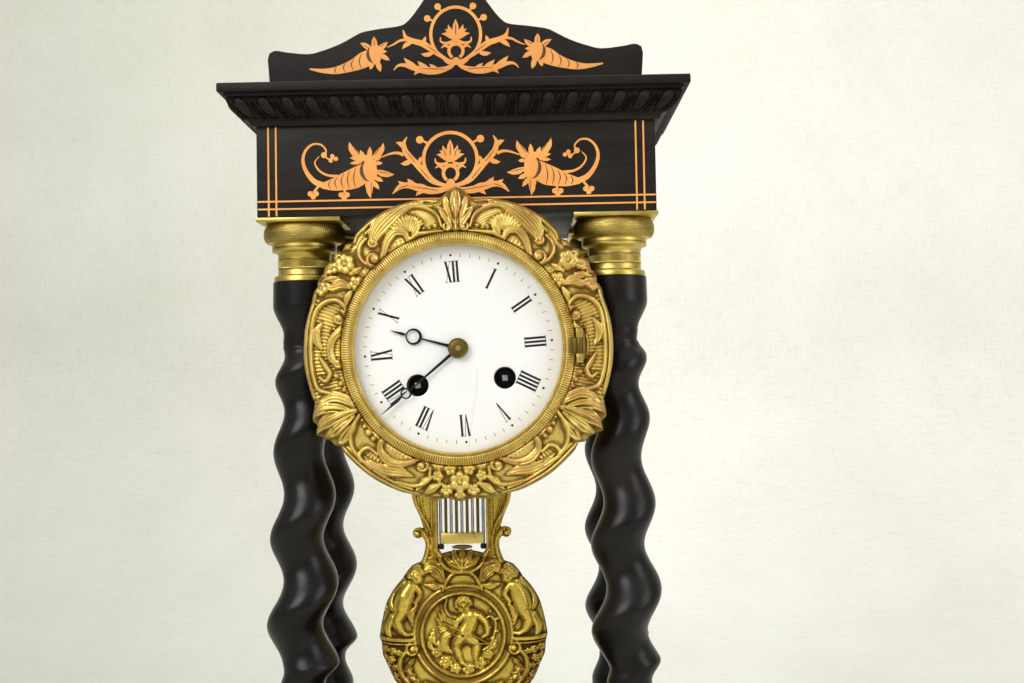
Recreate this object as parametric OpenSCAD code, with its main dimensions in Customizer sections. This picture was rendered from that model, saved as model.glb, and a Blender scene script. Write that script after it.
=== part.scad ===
// Portico clock: ebonised case on four twisted columns, round spring-driven
// movement in a hanging drum, gilt surround and a gridiron pendulum.
// Millimetres. X to the right seen from the front, Y to the back, Z up.
// Origin at the middle of the footprint, on the surface the feet stand on.

/* [Case] */
// width of the plinth
base_width = 250; // [240:1:260]
// depth of the plinth
base_depth = 153; // [148:1:160]
// height of the base from the feet to the board the columns stand on
base_height = 80; // [76:1:84]
// width of the frieze box
frieze_width = 200; // [194:1:206]
// depth of the frieze box
frieze_depth = 120; // [116:1:124]
// height of the plain band of the frieze
frieze_height = 45.6; // [42:0.2:50]
// overhang of the top board
board_overhang = 16.5; // [14:0.5:18]
// thickness of the top board
board_thick = 4.5; // [4:0.5:6]
// width of the crest
crest_width = 192; // [184:1:196]
// height of the crest at its middle
crest_height = 58; // [50:1:62]

/* [Columns] */
// distance between column axes at the capitals, side to side
column_gauge_x = 160; // [158:1:160]
// distance between column axes, front to back
column_gauge_y = 77; // [75:1:77]
// height of a column with its two brass mounts
column_stack = 295; // [290:1:300]
// how far each column stands out at its foot
foot_lean = 3.6; // [0:0.2:4]
// radius of the turned ends of a column
neck_r = 16; // [15:0.5:17]
// height of one turn of the twist
twist_pitch = 44; // [40:1:48]
// hidden radius from the axis to the hollow of the twist
twist_inner = 10.1; // [9:0.1:11]
// side of the square plate of a capital
abacus_side = 42.5; // [41:0.5:43]

/* [Dial and movement] */
// height of the dial centre below the frieze
dial_drop = 67.5; // [66:0.5:69]
// turn of the movement in its drum, anticlockwise seen from the front
dial_twist = 4; // [0:0.5:6]
// radius of the dial
dial_r = 53; // [52:0.5:53]
// outer radius of the drum
drum_r = 56; // [55.5:0.5:56]
// outer radius of the gilt surround
surround_r = 76.8; // [75:0.2:78]
// sideways distance of a winding square from the dial centre
square_x = 21.7; // [21.5:0.1:22]
// drop of the winding squares below the dial centre
square_drop = 16.5; // [16:0.1:17]

/* [Pendulum] */
// distance from the dial centre down to the middle of the bob
bob_drop = 150.2; // [148:0.2:152]
// radius of the bob
bob_r = 45; // [43:0.5:46]
// diameter of a gridiron rod
grid_rod = 1.7; // [1.4:0.1:1.9]
// spacing of the gridiron rods
grid_pitch = 2.86; // [2.7:0.02:3]

/* [Finish] */
// facets of a full turn of large round parts
round_facets = 64; // [48:4:96]

/* [Hidden] */

$fn = round_facets;
tiny = 0.01;

z_col = base_height;
z_frieze = base_height + column_stack;
z_cornice = z_frieze + frieze_height;
cornice_h = 14.7;
z_board = z_cornice + cornice_h;
z_crest = z_board + board_thick;
z_dial = z_frieze - dial_drop;

mount_h = 31.5;
z_shaft0 = z_col + mount_h;
z_shaft1 = z_frieze - mount_h;

// movement: y of the inner face of the front plate, and the gap between plates
y_plate = -50;
gap = 36;
plate_t = 2;
plate_r = 45;
y_back = y_plate + gap + plate_t;
y_pend = -3;

// colours
ebony = [0.05, 0.04, 0.04];
boxwood = [0.80, 0.47, 0.20];
gilt = [0.80, 0.62, 0.22];
brass = [0.78, 0.65, 0.32];
steel = [0.55, 0.56, 0.58];
blued = [0.06, 0.07, 0.12];
enamel = [0.95, 0.95, 0.93];
clear = [0.85, 0.92, 0.92, 0.3];

function smooth(t) = let (c = min(1, max(0, t))) c * c * (3 - 2 * c);
function mix(a, b, t) = a + (b - a) * t;
function unit(a) = [cos(a), sin(a)];

// point at distance a from P and b from Q, on the left of the way from P to Q
function meet(P, Q, a, b) =
  let (d = norm(Q - P), k = (a * a - b * b + d * d) / (2 * d))
  let (h = sqrt(a * a - k * k), e = (Q - P) / d)
  P + e * k + [-e[1], e[0]] * h;

// ---- helpers ----

// places children in the plane of the dial, turned with the movement
module at_dial() {
  translate([0, 0, z_dial]) rotate([0, -dial_twist, 0]) children();
}

// flat outline in the dial plane, between two depths y0 and y1
module slab(y0, y1) {
  translate([0, y1, 0]) rotate([90, 0, 0]) linear_extrude(y1 - y0) children();
}

// round bar along the depth
module bar(p, r, y0, y1, n = 24) {
  translate([p[0], y1, p[1]]) rotate([90, 0, 0]) cylinder(r = r, h = y1 - y0, $fn = n);
}

// body of revolution about the depth axis, profile in (radius, depth from y0)
module turned(p, y0) {
  translate([p[0], y0, p[1]]) rotate([-90, 0, 0]) rotate_extrude() children();
}

// sideways shift of a column's axis at height z, outwards
function lean(z) = foot_lean * (z_shaft1 - z) / (z_shaft1 - z_shaft0);

// children on each column's axis as it is at height z
module at_columns(z) {
  for (sx = [-1, 1], sy = [-1, 1])
    translate([sx * (column_gauge_x / 2 + lean(z)), sy * column_gauge_y / 2, 0]) children();
}

// mitred moulding on the front and both sides of a box
module u_sweep(prof, hw, yf, yb) {
  n = len(prof);
  pts = [for (s = [0 : 3]) for (q = prof)
    (s == 0) ? [-hw - q[0], yb, q[1]] :
    (s == 1) ? [-hw - q[0], yf - q[0], q[1]] :
    (s == 2) ? [hw + q[0], yf - q[0], q[1]] : [hw + q[0], yb, q[1]]];
  walls = [for (s = [0 : 2]) for (i = [0 : n - 1])
    let (j = (i + 1) % n) [s * n + i, s * n + j, (s + 1) * n + j, (s + 1) * n + i]];
  ends = [[for (i = [n - 1 : -1 : 0]) i], [for (i = [0 : n - 1]) 3 * n + i]];
  polyhedron(points = pts, faces = concat(walls, ends), convexity = 6);
}

// board with the same moulding on all four edges, profile from the bottom up
module moulded_board(prof, hw, hd) {
  n = len(prof);
  pts = [for (q = prof) for (s = [0 : 3])
    [((s == 0 || s == 3) ? -1 : 1) * (hw + q[0]), ((s < 2) ? -1 : 1) * (hd + q[0]), q[1]]];
  walls = [for (i = [0 : n - 2]) for (s = [0 : 3])
    let (t = (s + 1) % 4) [4 * i + s, 4 * i + 4 + s, 4 * i + 4 + t, 4 * i + t]];
  polyhedron(points = pts, faces = concat(walls, [[0, 1, 2, 3],
    [4 * n - 1, 4 * n - 2, 4 * n - 3, 4 * n - 4]]), convexity = 6);
}

// ---- base ----

module feet() {
  color(ebony)
    for (sx = [-1, 1], sy = [-1, 1])
      translate([sx * (base_width / 2 - 18), sy * (base_depth / 2 - 18), 0])
        rotate_extrude()
          polygon([[0, 0], [11, 0], [14, 3], [14.6, 6], [13, 9], [10, 10.4], [10, 12], [0, 12]]);
}

module base_plinth() {
  color(ebony)
    translate([-base_width / 2, -base_depth / 2, 12]) cube([base_width, base_depth, 20]);
}

module base_moulding() {
  color(ebony)
    moulded_board([[19, 32], [19, 33.5], [17, 34.5], [16.5, 37.5], [14, 40.5], [9, 42.5],
      [6, 43], [5.2, 44.5], [2, 45], [1.6, 46]], base_width / 2 - 21, base_depth / 2 - 21);
}

block_hw = base_width / 2 - 20;
block_hd = base_depth / 2 - 13;

module base_block() {
  color(ebony)
    difference() {
      translate([-block_hw, -block_hd, 46]) cube([2 * block_hw, 2 * block_hd, base_height - 56]);
      at_columns(base_height - 12) translate([0, 0, base_height - 18]) cylinder(r = 7, h = 12, $fn = 24);
    }
}

module base_top_board() {
  color(ebony)
    difference() {
      union() {
        translate([-block_hw - 2, -block_hd - 2, base_height - 10])
          cube([2 * block_hw + 4, 2 * block_hd + 4, 4]);
        translate([-block_hw - 5, -block_hd - 5, base_height - 6])
          cube([2 * block_hw + 10, 2 * block_hd + 10, 6]);
      }
      at_columns(base_height - 5) translate([0, 0, base_height - 12]) cylinder(r = 3.4, h = 14, $fn = 24);
    }
}

module inlay_frame(hw, z0, z1, w) {
  difference() {
    translate([-hw, z0]) square([2 * hw, z1 - z0]);
    translate([-hw + w, z0 + w]) square([2 * (hw - w), z1 - z0 - 2 * w]);
  }
}

module base_inlay() {
  color(boxwood) {
    slab(-block_hd - 0.3, -block_hd) inlay_frame(block_hw - 5, 50, base_height - 13, 0.8);
    slab(-block_hd - 0.3, -block_hd) scroll_motif(58.5, 0.72);
  }
}

// ---- columns ----

// centre line radius, offset and angle of the twisted shaft at height z
z_waist0 = z_shaft0 + 26;
z_waist1 = z_shaft1 - 27;
function shaft_t(z) = (z - z_waist0) / (z_waist1 - z_waist0);
function shaft_fade(z) = smooth((z - z_waist0) / 12) * smooth((z_waist1 - z) / 12);
function shaft_e(z) = mix(4.3, 2.3, smooth(shaft_t(z) * 1.05)) * shaft_fade(z);
function shaft_core(z) = (z > z_waist1 - 6)
  ? mix(10.6, neck_r, smooth((z - z_waist1) / 15))
  : mix(11.4, neck_r, smooth((z_waist0 - z) / 14));
function shaft_r(z) = mix(shaft_core(z), twist_inner + shaft_e(z), shaft_fade(z));
function shaft_turn(z) = 360 * (z - 251.5) / twist_pitch
  + 0.075 * pow(max(0, z - 262), 2);

// side is -1 for a column on the left and 1 for one on the right
module shaft(phase, side) {
  rows = 62;
  sides = 20;
  zs = [for (i = [0 : rows]) mix(z_shaft0, z_shaft1, i / rows)];
  outer = [for (z = zs) for (k = [0 : sides - 1])
    let (a = k * 360 / sides, f = shaft_turn(z) + phase)
    [shaft_e(z) * cos(f) + shaft_r(z) * cos(a) + side * lean(z),
      shaft_e(z) * sin(f) + shaft_r(z) * sin(a), z]];
  inner = [for (z = [z_shaft0, z_shaft1]) for (k = [0 : sides - 1])
    [4 * cos(k * 360 / sides) + side * lean(z), 4 * sin(k * 360 / sides), z]];
  base = len(outer);
  skin = [for (i = [0 : rows - 1]) for (k = [0 : sides - 1]) for (h = [0, 1])
    let (n = (k + 1) % sides, a = i * sides)
    h == 0 ? [a + k, a + sides + k, a + sides + n] : [a + k, a + sides + n, a + n]];
  bore = [for (k = [0 : sides - 1])
    let (n = (k + 1) % sides) [base + n, base + sides + n, base + sides + k, base + k]];
  low = [for (k = [0 : sides - 1])
    let (n = (k + 1) % sides) [k, n, base + n, base + k]];
  top = [for (k = [0 : sides - 1])
    let (n = (k + 1) % sides, t = rows * sides)
    [t + n, t + k, base + sides + k, base + sides + n]];
  polyhedron(points = concat(outer, inner), faces = concat(skin, bore, low, top), convexity = 8);
}

module column_front_left() {
  color(ebony) translate([-column_gauge_x / 2, -column_gauge_y / 2, 0]) shaft(144, -1);
}

module column_front_right() {
  color(ebony) translate([column_gauge_x / 2, -column_gauge_y / 2, 0]) shaft(180, 1);
}

module column_back_left() {
  color(ebony) translate([-column_gauge_x / 2, column_gauge_y / 2, 0]) shaft(150, -1);
}

module column_back_right() {
  color(ebony) translate([column_gauge_x / 2, column_gauge_y / 2, 0]) shaft(170, 1);
}

// turned brass mount, square plate at z = mount_h and narrow end at z = 0
module mount_turning() {
  difference() {
    union() {
      translate([-abacus_side / 2, -abacus_side / 2, mount_h - 2])
        cube([abacus_side, abacus_side, 2]);
      rotate_extrude()
        polygon([[0, 0], [15.6, 0], [15.6, 3], [13.6, 3.4], [13.6, 14.8], [16.6, 15.8],
          [16.6, 19.4], [18.6, 19.9], [20.3, 21.6], [20.9, 24.5], [20.3, 27.6],
          [18.6, mount_h - 2], [0, mount_h - 2]]);
    }
    translate([0, 0, -1]) cylinder(r = 3.4, h = mount_h + 2, $fn = 24);
  }
}

module capitals() {
  color(brass) at_columns(z_shaft1 + mount_h / 2) translate([0, 0, z_shaft1]) mount_turning();
}

module column_bases() {
  color(brass)
    at_columns(z_shaft0 - mount_h / 2) translate([0, 0, z_shaft0]) mirror([0, 0, 1]) mount_turning();
}

z_rod0 = base_height - 15.5;
rod_h = column_stack + 30;

module tie_rods() {
  slope = atan(foot_lean / (z_shaft1 - z_shaft0));
  color(steel)
    for (sx = [-1, 1], sy = [-1, 1])
      translate([sx * (column_gauge_x / 2 + lean(z_rod0)), sy * column_gauge_y / 2, z_rod0])
        rotate([0, -sx * slope, 0]) cylinder(r = 3, h = rod_h, $fn = 24);
}

module tie_nuts() {
  color(steel)
    for (z = [base_height - 14, z_frieze + 8])
      at_columns(z + 2) translate([0, 0, z])
        difference() {
          cylinder(r = 5.6, h = 4, $fn = 6);
          translate([0, 0, -1]) cylinder(r = 3.05, h = 6, $fn = 24);
        }
}

// ---- entablature ----

fw = frieze_width / 2;
fd = frieze_depth / 2;

module frieze_box() {
  color(ebony)
    difference() {
      translate([-fw, -fd, z_frieze]) cube([2 * fw, 2 * fd, frieze_height + cornice_h]);
      translate([-fw + 10, -fd + 10, z_frieze + 8])
        cube([2 * fw - 20, 2 * fd - 20, frieze_height + cornice_h]);
      at_columns(z_frieze + 4) translate([0, 0, z_frieze - 1]) cylinder(r = 3.4, h = 12, $fn = 24);
      for (y = [-30, 10])
        translate([0, y, z_frieze - 1]) cylinder(r = 1.56, h = 7, $fn = 24);
    }
}

module cornice_moulding() {
  color(ebony)
    u_sweep([[0, z_cornice], [2.2, z_cornice], [3.4, z_cornice + 2.4], [5.5, z_cornice + 3],
      [9.8, z_cornice + 10.5], [9.8, z_cornice + 11.6], [13.4, z_cornice + 12.4],
      [13.4, z_board], [0, z_board]], fw, -fd, fd);
}

module top_board() {
  color(ebony)
    translate([-fw - board_overhang, -fd - board_overhang, z_board])
      cube([2 * (fw + board_overhang), 2 * fd + board_overhang, board_thick]);
}

// outline of the crest: shoulder heights as parts of the whole
module crest_outline(grow = 0) {
  c = crest_width / 2;
  h = crest_height;
  half = [[0.985 * c, 0], [c, 0.30 * h], [0.99 * c, 0.355 * h], [0.955 * c, 0.38 * h],
    [0.89 * c, 0.362 * h], [0.78 * c, 0.345 * h], [0.70 * c, 0.375 * h], [0.61 * c, 0.43 * h],
    [0.53 * c, 0.50 * h], [0.49 * c, 0.53 * h], [0.40 * c, 0.556 * h], [0.29 * c, 0.58 * h],
    [0.25 * c, 0.62 * h], [0.215 * c, 0.685 * h], [0.18 * c, 0.765 * h], [0.13 * c, 0.88 * h],
    [0.07 * c, 0.97 * h], [0, h]];
  polygon(concat(half, [for (i = [len(half) - 2 : -1 : 0]) [-half[i][0], half[i][1]]]));
}

module crest() {
  color(ebony) {
    translate([0, 0, z_crest]) slab(-50, -41) crest_outline();
    for (sx = [-1, 1])
      translate([sx * 62 - 7, -41, z_crest]) cube([14, 16, 12]);
  }
}

// ring and palmette between two scrolls, k scales the whole figure
module scroll_motif(z, k) {
  translate([0, z])
    scale(k) {
      difference() {
        circle(r = 14.5, $fn = 48);
        circle(r = 13.3, $fn = 48);
      }
      for (a = [-60 : 30 : 60])
        rotate(a) translate([0, 4.5]) circle(r = 3.2 - abs(a) / 60, $fn = 12);
      for (sx = [-1, 1])
        scroll_leaf(sx);
    }
}

module scroll_leaf(sx) {
  polygon([for (t = [0 : 0.1 : 1]) [sx * (13 + 17 * t), 5 * sin(300 * t) - 2 + 1.1 * (1 - t)],
    for (t = [1 : -0.1 : 0]) [sx * (13 + 17 * t), 5 * sin(300 * t) - 2 - 1.1 * (1 - t) - 0.2]]);
}

// horn of plenty, mouth towards the middle
module horn(x, z, sx, k) {
  translate([x, z])
    scale(k)
      polygon([for (t = [0 : 0.1 : 1]) [sx * 30 * t, 9 * sin(170 * t) - 4 * t + 5 * (1 - t)],
        for (t = [1 : -0.1 : 0]) [sx * 30 * t, 9 * sin(170 * t) - 4 * t - 5 * (1 - t) - 0.3]]);
}

module crest_marquetry() {
  color(boxwood)
    translate([0, 0, z_crest])
      slab(-50.3, -50) {
        scroll_motif(0.42 * crest_height, 1.05);
        horn(-36, 12, -1, 1);
        horn(36, 12, 1, 1);
      }
}

module frieze_marquetry() {
  color(boxwood)
    slab(-fd - 0.3, -fd) {
      scroll_motif(z_frieze + 27.6, 0.92);
      horn(-37, z_frieze + 25, -1, 1.15);
      horn(37, z_frieze + 25, 1, 1.15);
    }
}

// two lines up each side and two along the bottom, run out to the edges
module frieze_stringing() {
  line = 1.1;
  color(boxwood)
    slab(-fd - 0.3, -fd)
      for (g = [0, 3.85]) {
        translate([-fw, z_frieze + 4 + g - line / 2]) square([2 * fw, line]);
        for (sx = [-1, 1])
          translate([sx * (fw - 5.9 - g) - line / 2, z_frieze]) square([line, frieze_height]);
      }
}

// ---- drum and its fittings ----

module saddle_block() {
  color(ebony)
    difference() {
      translate([-26, -42, z_dial + drum_r - 7]) cube([52, 66, dial_drop - drum_r + 7]);
      translate([0, -50, z_dial]) rotate([-90, 0, 0]) cylinder(r = drum_r, h = 90);
      for (y = [-30, 10])
        translate([0, y, z_dial]) cylinder(r = 1.56, h = dial_drop + 1, $fn = 24);
    }
}

module saddle_screws() {
  color(steel)
    for (y = [-30, 10])
      translate([0, y, z_dial]) {
        translate([0, 0, drum_r - 4.6]) cylinder(r = 1.5, h = dial_drop - drum_r + 10, $fn = 24);
        translate([0, 0, drum_r - 4.6]) cylinder(r = 3.2, h = 1.6, $fn = 24);
      }
}

drum_y0 = -61;
drum_y1 = 37.5;
pend_x = -sin(dial_twist) * 37;

module drum() {
  color(brass)
    difference() {
      union() {
        translate([0, drum_y0, z_dial]) rotate([-90, 0, 0])
          cylinder(r = drum_r, h = drum_y1 - drum_y0);
        for (z = [-9, 5])
          translate([drum_r - 1, drum_y1 - 6, z_dial + z]) cube([4, 5.5, 4]);
      }
      translate([0, drum_y0 - 1, z_dial]) rotate([-90, 0, 0])
        cylinder(r = drum_r - 2, h = drum_y1 - drum_y0 + 2);
      translate([pend_x - 10, y_pend - 4, z_dial - drum_r - 1]) cube([20, 8, 12]);
      for (y = [-30, 10])
        translate([0, y, z_dial + drum_r - 5]) cylinder(r = 1.56, h = 7, $fn = 24);
      translate([door_hinge_x, drum_y1 - 2.2, z_dial - 12]) cylinder(r = 0.6, h = 24, $fn = 24);
    }
}

door_hinge_x = drum_r + 1.6;
ring_hinge_x = 59.7;
ring_hinge_y = -72.4;

// stamped surround: turned section with lobes and a palmette
module surround() {
  color(gilt)
    translate([0, 0, z_dial])
      difference() {
        union() {
          translate([0, -62, 0]) rotate([90, 0, 0]) rotate_extrude()
            polygon([[58.3, -1], [surround_r - 3, -1], [surround_r, 0], [surround_r - 1.5, 3],
              [surround_r - 6, 9], [66, 12], [61.5, 9.5], [60.4, 8], [58.3, 8]]);
          translate([0, -61, 0]) rotate([90, 0, 0])
            difference() {
              cylinder(r = 59, h = 1);
              translate([0, 0, -1]) cylinder(r = drum_r - 1, h = 3);
            }
          slab(-70, -61) translate([0, surround_r - 4]) circle(r = 7, $fn = 24);
          for (a = [0 : 45 : 315])
            rotate([0, a + 22.5, 0]) translate([0, -70, surround_r - 9])
              rotate([-90, 0, 0]) cylinder(r = 8.4, h = 7, $fn = 24);
        }
        translate([56, -80, -8.5]) cube([6.6, 14.6, 17]);
      }
}

module glazed_ring() {
  color(gilt)
    translate([0, 0, z_dial])
      difference() {
        union() {
          translate([0, -65.2, 0]) rotate([90, 0, 0]) rotate_extrude()
            polygon([[51.4, 0], [57.8, 0], [57.8, 2.6], [56.6, 5.4], [54, 7], [51.4, 6]]);
          translate([54.5, ring_hinge_y + 0.9, -3.9]) cube([3, 3, 7.8]);
          translate([ring_hinge_x, ring_hinge_y, -3.9]) cylinder(r = 1.6, h = 7.8, $fn = 24);
          translate([56.5, ring_hinge_y, -3.9]) cube([ring_hinge_x - 56.5, 1.6, 7.8]);
        }
        translate([0, -68.6, 0]) rotate([90, 0, 0]) cylinder(r = 54, h = 1.3);
        translate([ring_hinge_x, ring_hinge_y, -5]) cylinder(r = 0.6, h = 10, $fn = 24);
      }
}

module dial_glass() {
  color(clear)
    translate([0, -68.65, z_dial]) rotate([90, 0, 0]) rotate_extrude()
      polygon([[0, 2.9], [20, 2.5], [38, 1.4], [48, 0.3], [50.5, 0], [53.95, 0], [53.95, 1.2],
        [50.5, 1.2], [48, 1.5], [38, 2.6], [20, 3.7], [0, 4.1]]);
}

module hinge_pins() {
  color(brass) {
    translate([ring_hinge_x, ring_hinge_y, z_dial - 8.4]) cylinder(r = 0.55, h = 16.8, $fn = 24);
    for (sz = [-1, 1])
      translate([ring_hinge_x - 1.6, ring_hinge_y - 1.6, z_dial + sz * 6.2 - 2.2])
        difference() {
          cube([3.2, 8.6, 4.4]);
          translate([1.6, 1.6, -1]) cylinder(r = 0.55, h = 7, $fn = 24);
        }
    translate([door_hinge_x, drum_y1 - 2.2, z_dial - 9.2]) cylinder(r = 0.55, h = 18.4, $fn = 24);
  }
}

module back_door() {
  color(brass)
    translate([0, 0, z_dial])
      difference() {
        union() {
          translate([0, drum_y1 + 0.3, 0]) rotate([-90, 0, 0]) rotate_extrude()
            polygon([[0, 1.2], [46, 1.2], [48, 0], [drum_r, 0], [drum_r, 1.4], [49, 1.6],
              [47, 2.6], [0, 2.6]]);
          translate([door_hinge_x, drum_y1 - 2.2, -4.7]) cylinder(r = 1.3, h = 9.4, $fn = 24);
          translate([door_hinge_x - 1.3, drum_y1 - 2.2, -4.7]) cube([2.6, 3.5, 9.4]);
          translate([-50, drum_y1 + 1.5, -2]) cube([4, 5, 4]);
        }
        translate([door_hinge_x, drum_y1 - 2.2, -6]) cylinder(r = 0.6, h = 12, $fn = 24);
      }
}

module dial() {
  color(enamel)
    at_dial()
      difference() {
        turned([0, 0], -64.6)
          polygon([[0, 0], [26, 0.25], [44, 0.7], [dial_r, 1.1], [dial_r + 0.4, 2.2],
            [dial_r + 1.9, 2.2], [dial_r + 1.9, 3.6], [dial_r - 1, 3.6], [dial_r - 1, 2.4],
            [44, 2.0], [26, 1.6], [0, 1.4]]);
        bar([0, 0], 3.3, -70, -55);
        for (sx = [-1, 1]) bar([sx * square_x, -square_drop], 5.5, -70, -55, 32);
      }
}

// ---- movement plates ----

B1 = [square_x, -square_drop];
B2 = [-square_x, -square_drop];
C0 = [0, 0];
I1 = meet(C0, B1, 16.2, 22.08);
EW = [0, 24];
T1 = meet(C0, EW, 16.02, 13.65);
AN = [0, 35];
P2 = B2 + 22.08 * unit(100);
L2 = P2 + 14.4 * unit(75);
W2 = L2 + 11.55 * unit(55);
F2 = W2 + 10.05 * unit(60);
MW = [0, -14.4];
PILLARS = [for (a = [62, 155, 270, 356]) 41 * unit(a)];
HP = 41.5 * unit(209);
piv = 0.55;

module pivot_holes(y0, y1) {
  for (p = [I1, T1, EW, AN, P2, L2, W2, F2]) bar(p, piv, y0, y1);
}

module front_plate() {
  color(brass)
    at_dial()
      difference() {
        slab(y_plate - plate_t, y_plate) circle(r = plate_r);
        pivot_holes(y_plate - 5, y_plate + 1);
        bar(C0, 1.55, y_plate - 5, y_plate + 1);
        for (p = [B1, B2]) bar(p, 2.05, y_plate - 5, y_plate + 1);
        for (p = PILLARS) bar(p, 1.5, y_plate - 5, y_plate + 1);
      }
}

module back_plate() {
  color(brass)
    at_dial()
      difference() {
        slab(y_back - plate_t, y_back) circle(r = plate_r);
        pivot_holes(y_back - 5, y_back + 1);
        bar(C0, piv, y_back - 5, y_back + 1);
        for (p = [B1, B2]) bar(p, 1.6, y_back - 5, y_back + 1);
        for (p = PILLARS) bar(p, 1.5, y_back - 5, y_back + 1);
        bar(HP, 1.0, y_back - 5, y_back + 1);
      }
}

module plate_pillars() {
  color(brass)
    at_dial()
      for (p = PILLARS) {
        bar(p, 2.6, y_plate, y_back - plate_t);
        bar(p, 1.45, y_plate - plate_t - 0.6, y_back + 0.6);
        bar(p, 2.6, y_plate - plate_t - 1.6, y_plate - plate_t);
        bar(p, 2.6, y_back, y_back + 1.6);
      }
}

// lugs that hold the plates in the drum, left and right
module movement_lugs() {
  color(brass)
    at_dial()
      for (sx = [-1, 1])
        intersection() {
          translate([sx * 49 - 6, y_plate, sx > 0 ? 3 : -5]) cube([12, 8, 10]);
          difference() {
            slab(y_plate - 1, y_plate + 9) circle(r = drum_r - 2);
            bar(C0, 43, y_plate - 3, y_plate + 12, 64);
          }
        }
}

// ---- gearing ----

// straight-sided gear outline; a tooth stands at angle 0
module gear2d(z, m, add, ded, root, pitch, tip) {
  r = z * m / 2;
  p = 360 / z;
  polygon([for (i = [0 : z - 1])
    for (q = [[r - ded * m, -root], [r, -pitch], [r + 0.6 * add * m, -0.45 * pitch - 0.55 * tip],
      [r + add * m, -tip], [r + add * m, tip], [r + 0.6 * add * m, 0.45 * pitch + 0.55 * tip],
      [r, pitch], [r - ded * m, root]])
      q[0] * unit(i * p + q[1] * p)]);
}

module wheel2d(z, m) {
  gear2d(z, m, 0.85, 1.25, 0.27, 0.21, 0.06);
}

module pinion2d(z, m) {
  gear2d(z, m, 0.45, 1.35, 0.17, 0.17, 0.08);
}

// wheel with a rim, five crossings and a hub, turned by a
module wheel(p, z, m, a, y0, y1, hub = 2.4) {
  r = z * m / 2 - 1.25 * m;
  translate([p[0], 0, p[1]])
    slab(y0, y1)
      rotate(a)
        difference() {
          wheel2d(z, m);
          difference() {
            circle(r = r - 1.1, $fn = 40);
            circle(r = hub, $fn = 12);
            for (k = [0 : 4]) rotate(72 * k) translate([0, -0.6]) square([r, 1.2]);
          }
        }
}

module pinion(p, z, m, a, y0, y1) {
  translate([p[0], 0, p[1]]) slab(y0, y1) rotate(a) pinion2d(z, m);
}

// arbor with a pivot at each end, between the plates
module arbor(p, r = 0.8) {
  bar(p, r, y_plate + 0.1, y_plate + gap - 0.1, 8);
  bar(p, 0.5, y_plate - plate_t - 0.3, y_back + 0.3);
}

// angle that brings a gap of a pinion onto the line from a wheel at P to a pinion at Q
function dir(P, Q) = atan2(Q[1] - P[1], Q[0] - P[0]);
// tooth phase of a pinion that meshes with a wheel turned by w
function mesh(P, Q, zw, w, zp) =
  let (d = dir(P, Q)) d + 180 + 180 / zp - (w - d) * zw / zp;

// turn of each wheel and pinion so that all mesh at rest
w_c = 0;
a_b1 = 0;
a_i1p = mesh(B1, I1, 84, a_b1, 12);
a_c_p = mesh(I1, C0, 72, a_i1p, 9);
a_t1p = mesh(C0, T1, 81, a_c_p, 8);
a_e_p = mesh(T1, EW, 84, a_t1p, 7);
a_b2 = 0;
a_p2p = mesh(B2, P2, 84, a_b2, 12);
a_l2p = mesh(P2, L2, 72, a_p2p, 8);
a_w2p = mesh(L2, W2, 70, a_l2p, 7);
a_f2p = mesh(W2, F2, 60, a_w2p, 7);
a_mw = mesh(C0, MW, 12, 0, 36);
a_hr = mesh(C0, MW, 40, 0, 10);

function u(d) = y_plate + d;

module barrel(p, a) {
  difference() {
    union() {
      translate([p[0], 0, p[1]]) slab(u(3), u(5)) rotate(a) difference() {
        wheel2d(84, 0.46);
        circle(r = 1.56, $fn = 12);
      }
      bar(p, 17.4, u(5), u(26), 48);
    }
    bar(p, 16.6, u(6), u(25), 48);
    bar(p, 1.6, u(2), u(27));
  }
}

module time_barrel() {
  color(brass) at_dial() barrel(B1, a_b1);
}

module strike_barrel() {
  color(brass) at_dial() barrel(B2, a_b2);
}

module winding_arbor(p) {
  bar(p, 1.55, u(1.0), y_back + 1, 24);
  bar(p, 2.0, y_plate - plate_t - 1, u(1.0));
  bar(p, 5.2, y_plate - plate_t - 1.6, y_plate - plate_t - 0.6, 24);
  translate([p[0], 0, p[1]]) slab(-63.4, y_plate - plate_t - 1) square(2.6, center = true);
}

module time_winding_arbor() {
  color(steel) at_dial() winding_arbor(B1);
}

module strike_winding_arbor() {
  color(steel) at_dial() winding_arbor(B2);
}

module intermediate_wheel() {
  color(brass)
    at_dial() {
      pinion(I1, 12, 0.46, a_i1p, u(2.5), u(5.5));
      wheel(I1, 72, 0.40, a_i1p, u(29), u(30.2));
      arbor(I1);
    }
}

module centre_arbor() {
  color(steel)
    at_dial() {
      pinion(C0, 9, 0.40, a_c_p, u(28.4), u(30.8));
      wheel(C0, 81, 0.36, a_c_p, u(32), u(33.2));
      bar(C0, 0.5, u(gap - 0.1), y_back + 0.3);
      bar(C0, 1.0, u(0.1), u(gap - 0.1), 8);
      bar(C0, 1.5, -57.2, u(0.1));
      bar(C0, 1.3, -68.2, -57.2);
      translate([0, 0, 0]) slab(-54.6, -52.8) pinion2d(12, 0.6);
    }
}

module third_wheel() {
  color(brass)
    at_dial() {
      pinion(T1, 8, 0.36, a_t1p, u(31.4), u(33.8));
      wheel(T1, 84, 0.30, a_t1p, u(10), u(11));
      arbor(T1);
    }
}

module escape_wheel() {
  color(brass)
    at_dial() {
      pinion(EW, 7, 0.30, a_e_p, u(9.4), u(11.6));
      translate([EW[0], 0, EW[1]])
        slab(u(20), u(20.8))
          difference() {
            polygon([for (i = [0 : 35])
              for (q = [[6.7, 0], [8, 0.35], [8, 0.5], [6.9, 0.75]]) q[0] * unit(10 * (i + q[1]))]);
            difference() {
              circle(r = 5.9, $fn = 36);
              circle(r = 1.8, $fn = 12);
              for (k = [0 : 4]) rotate(72 * k) translate([0, -0.4]) square([6.4, 0.8]);
            }
          }
      arbor(EW, 0.7);
    }
}

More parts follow.
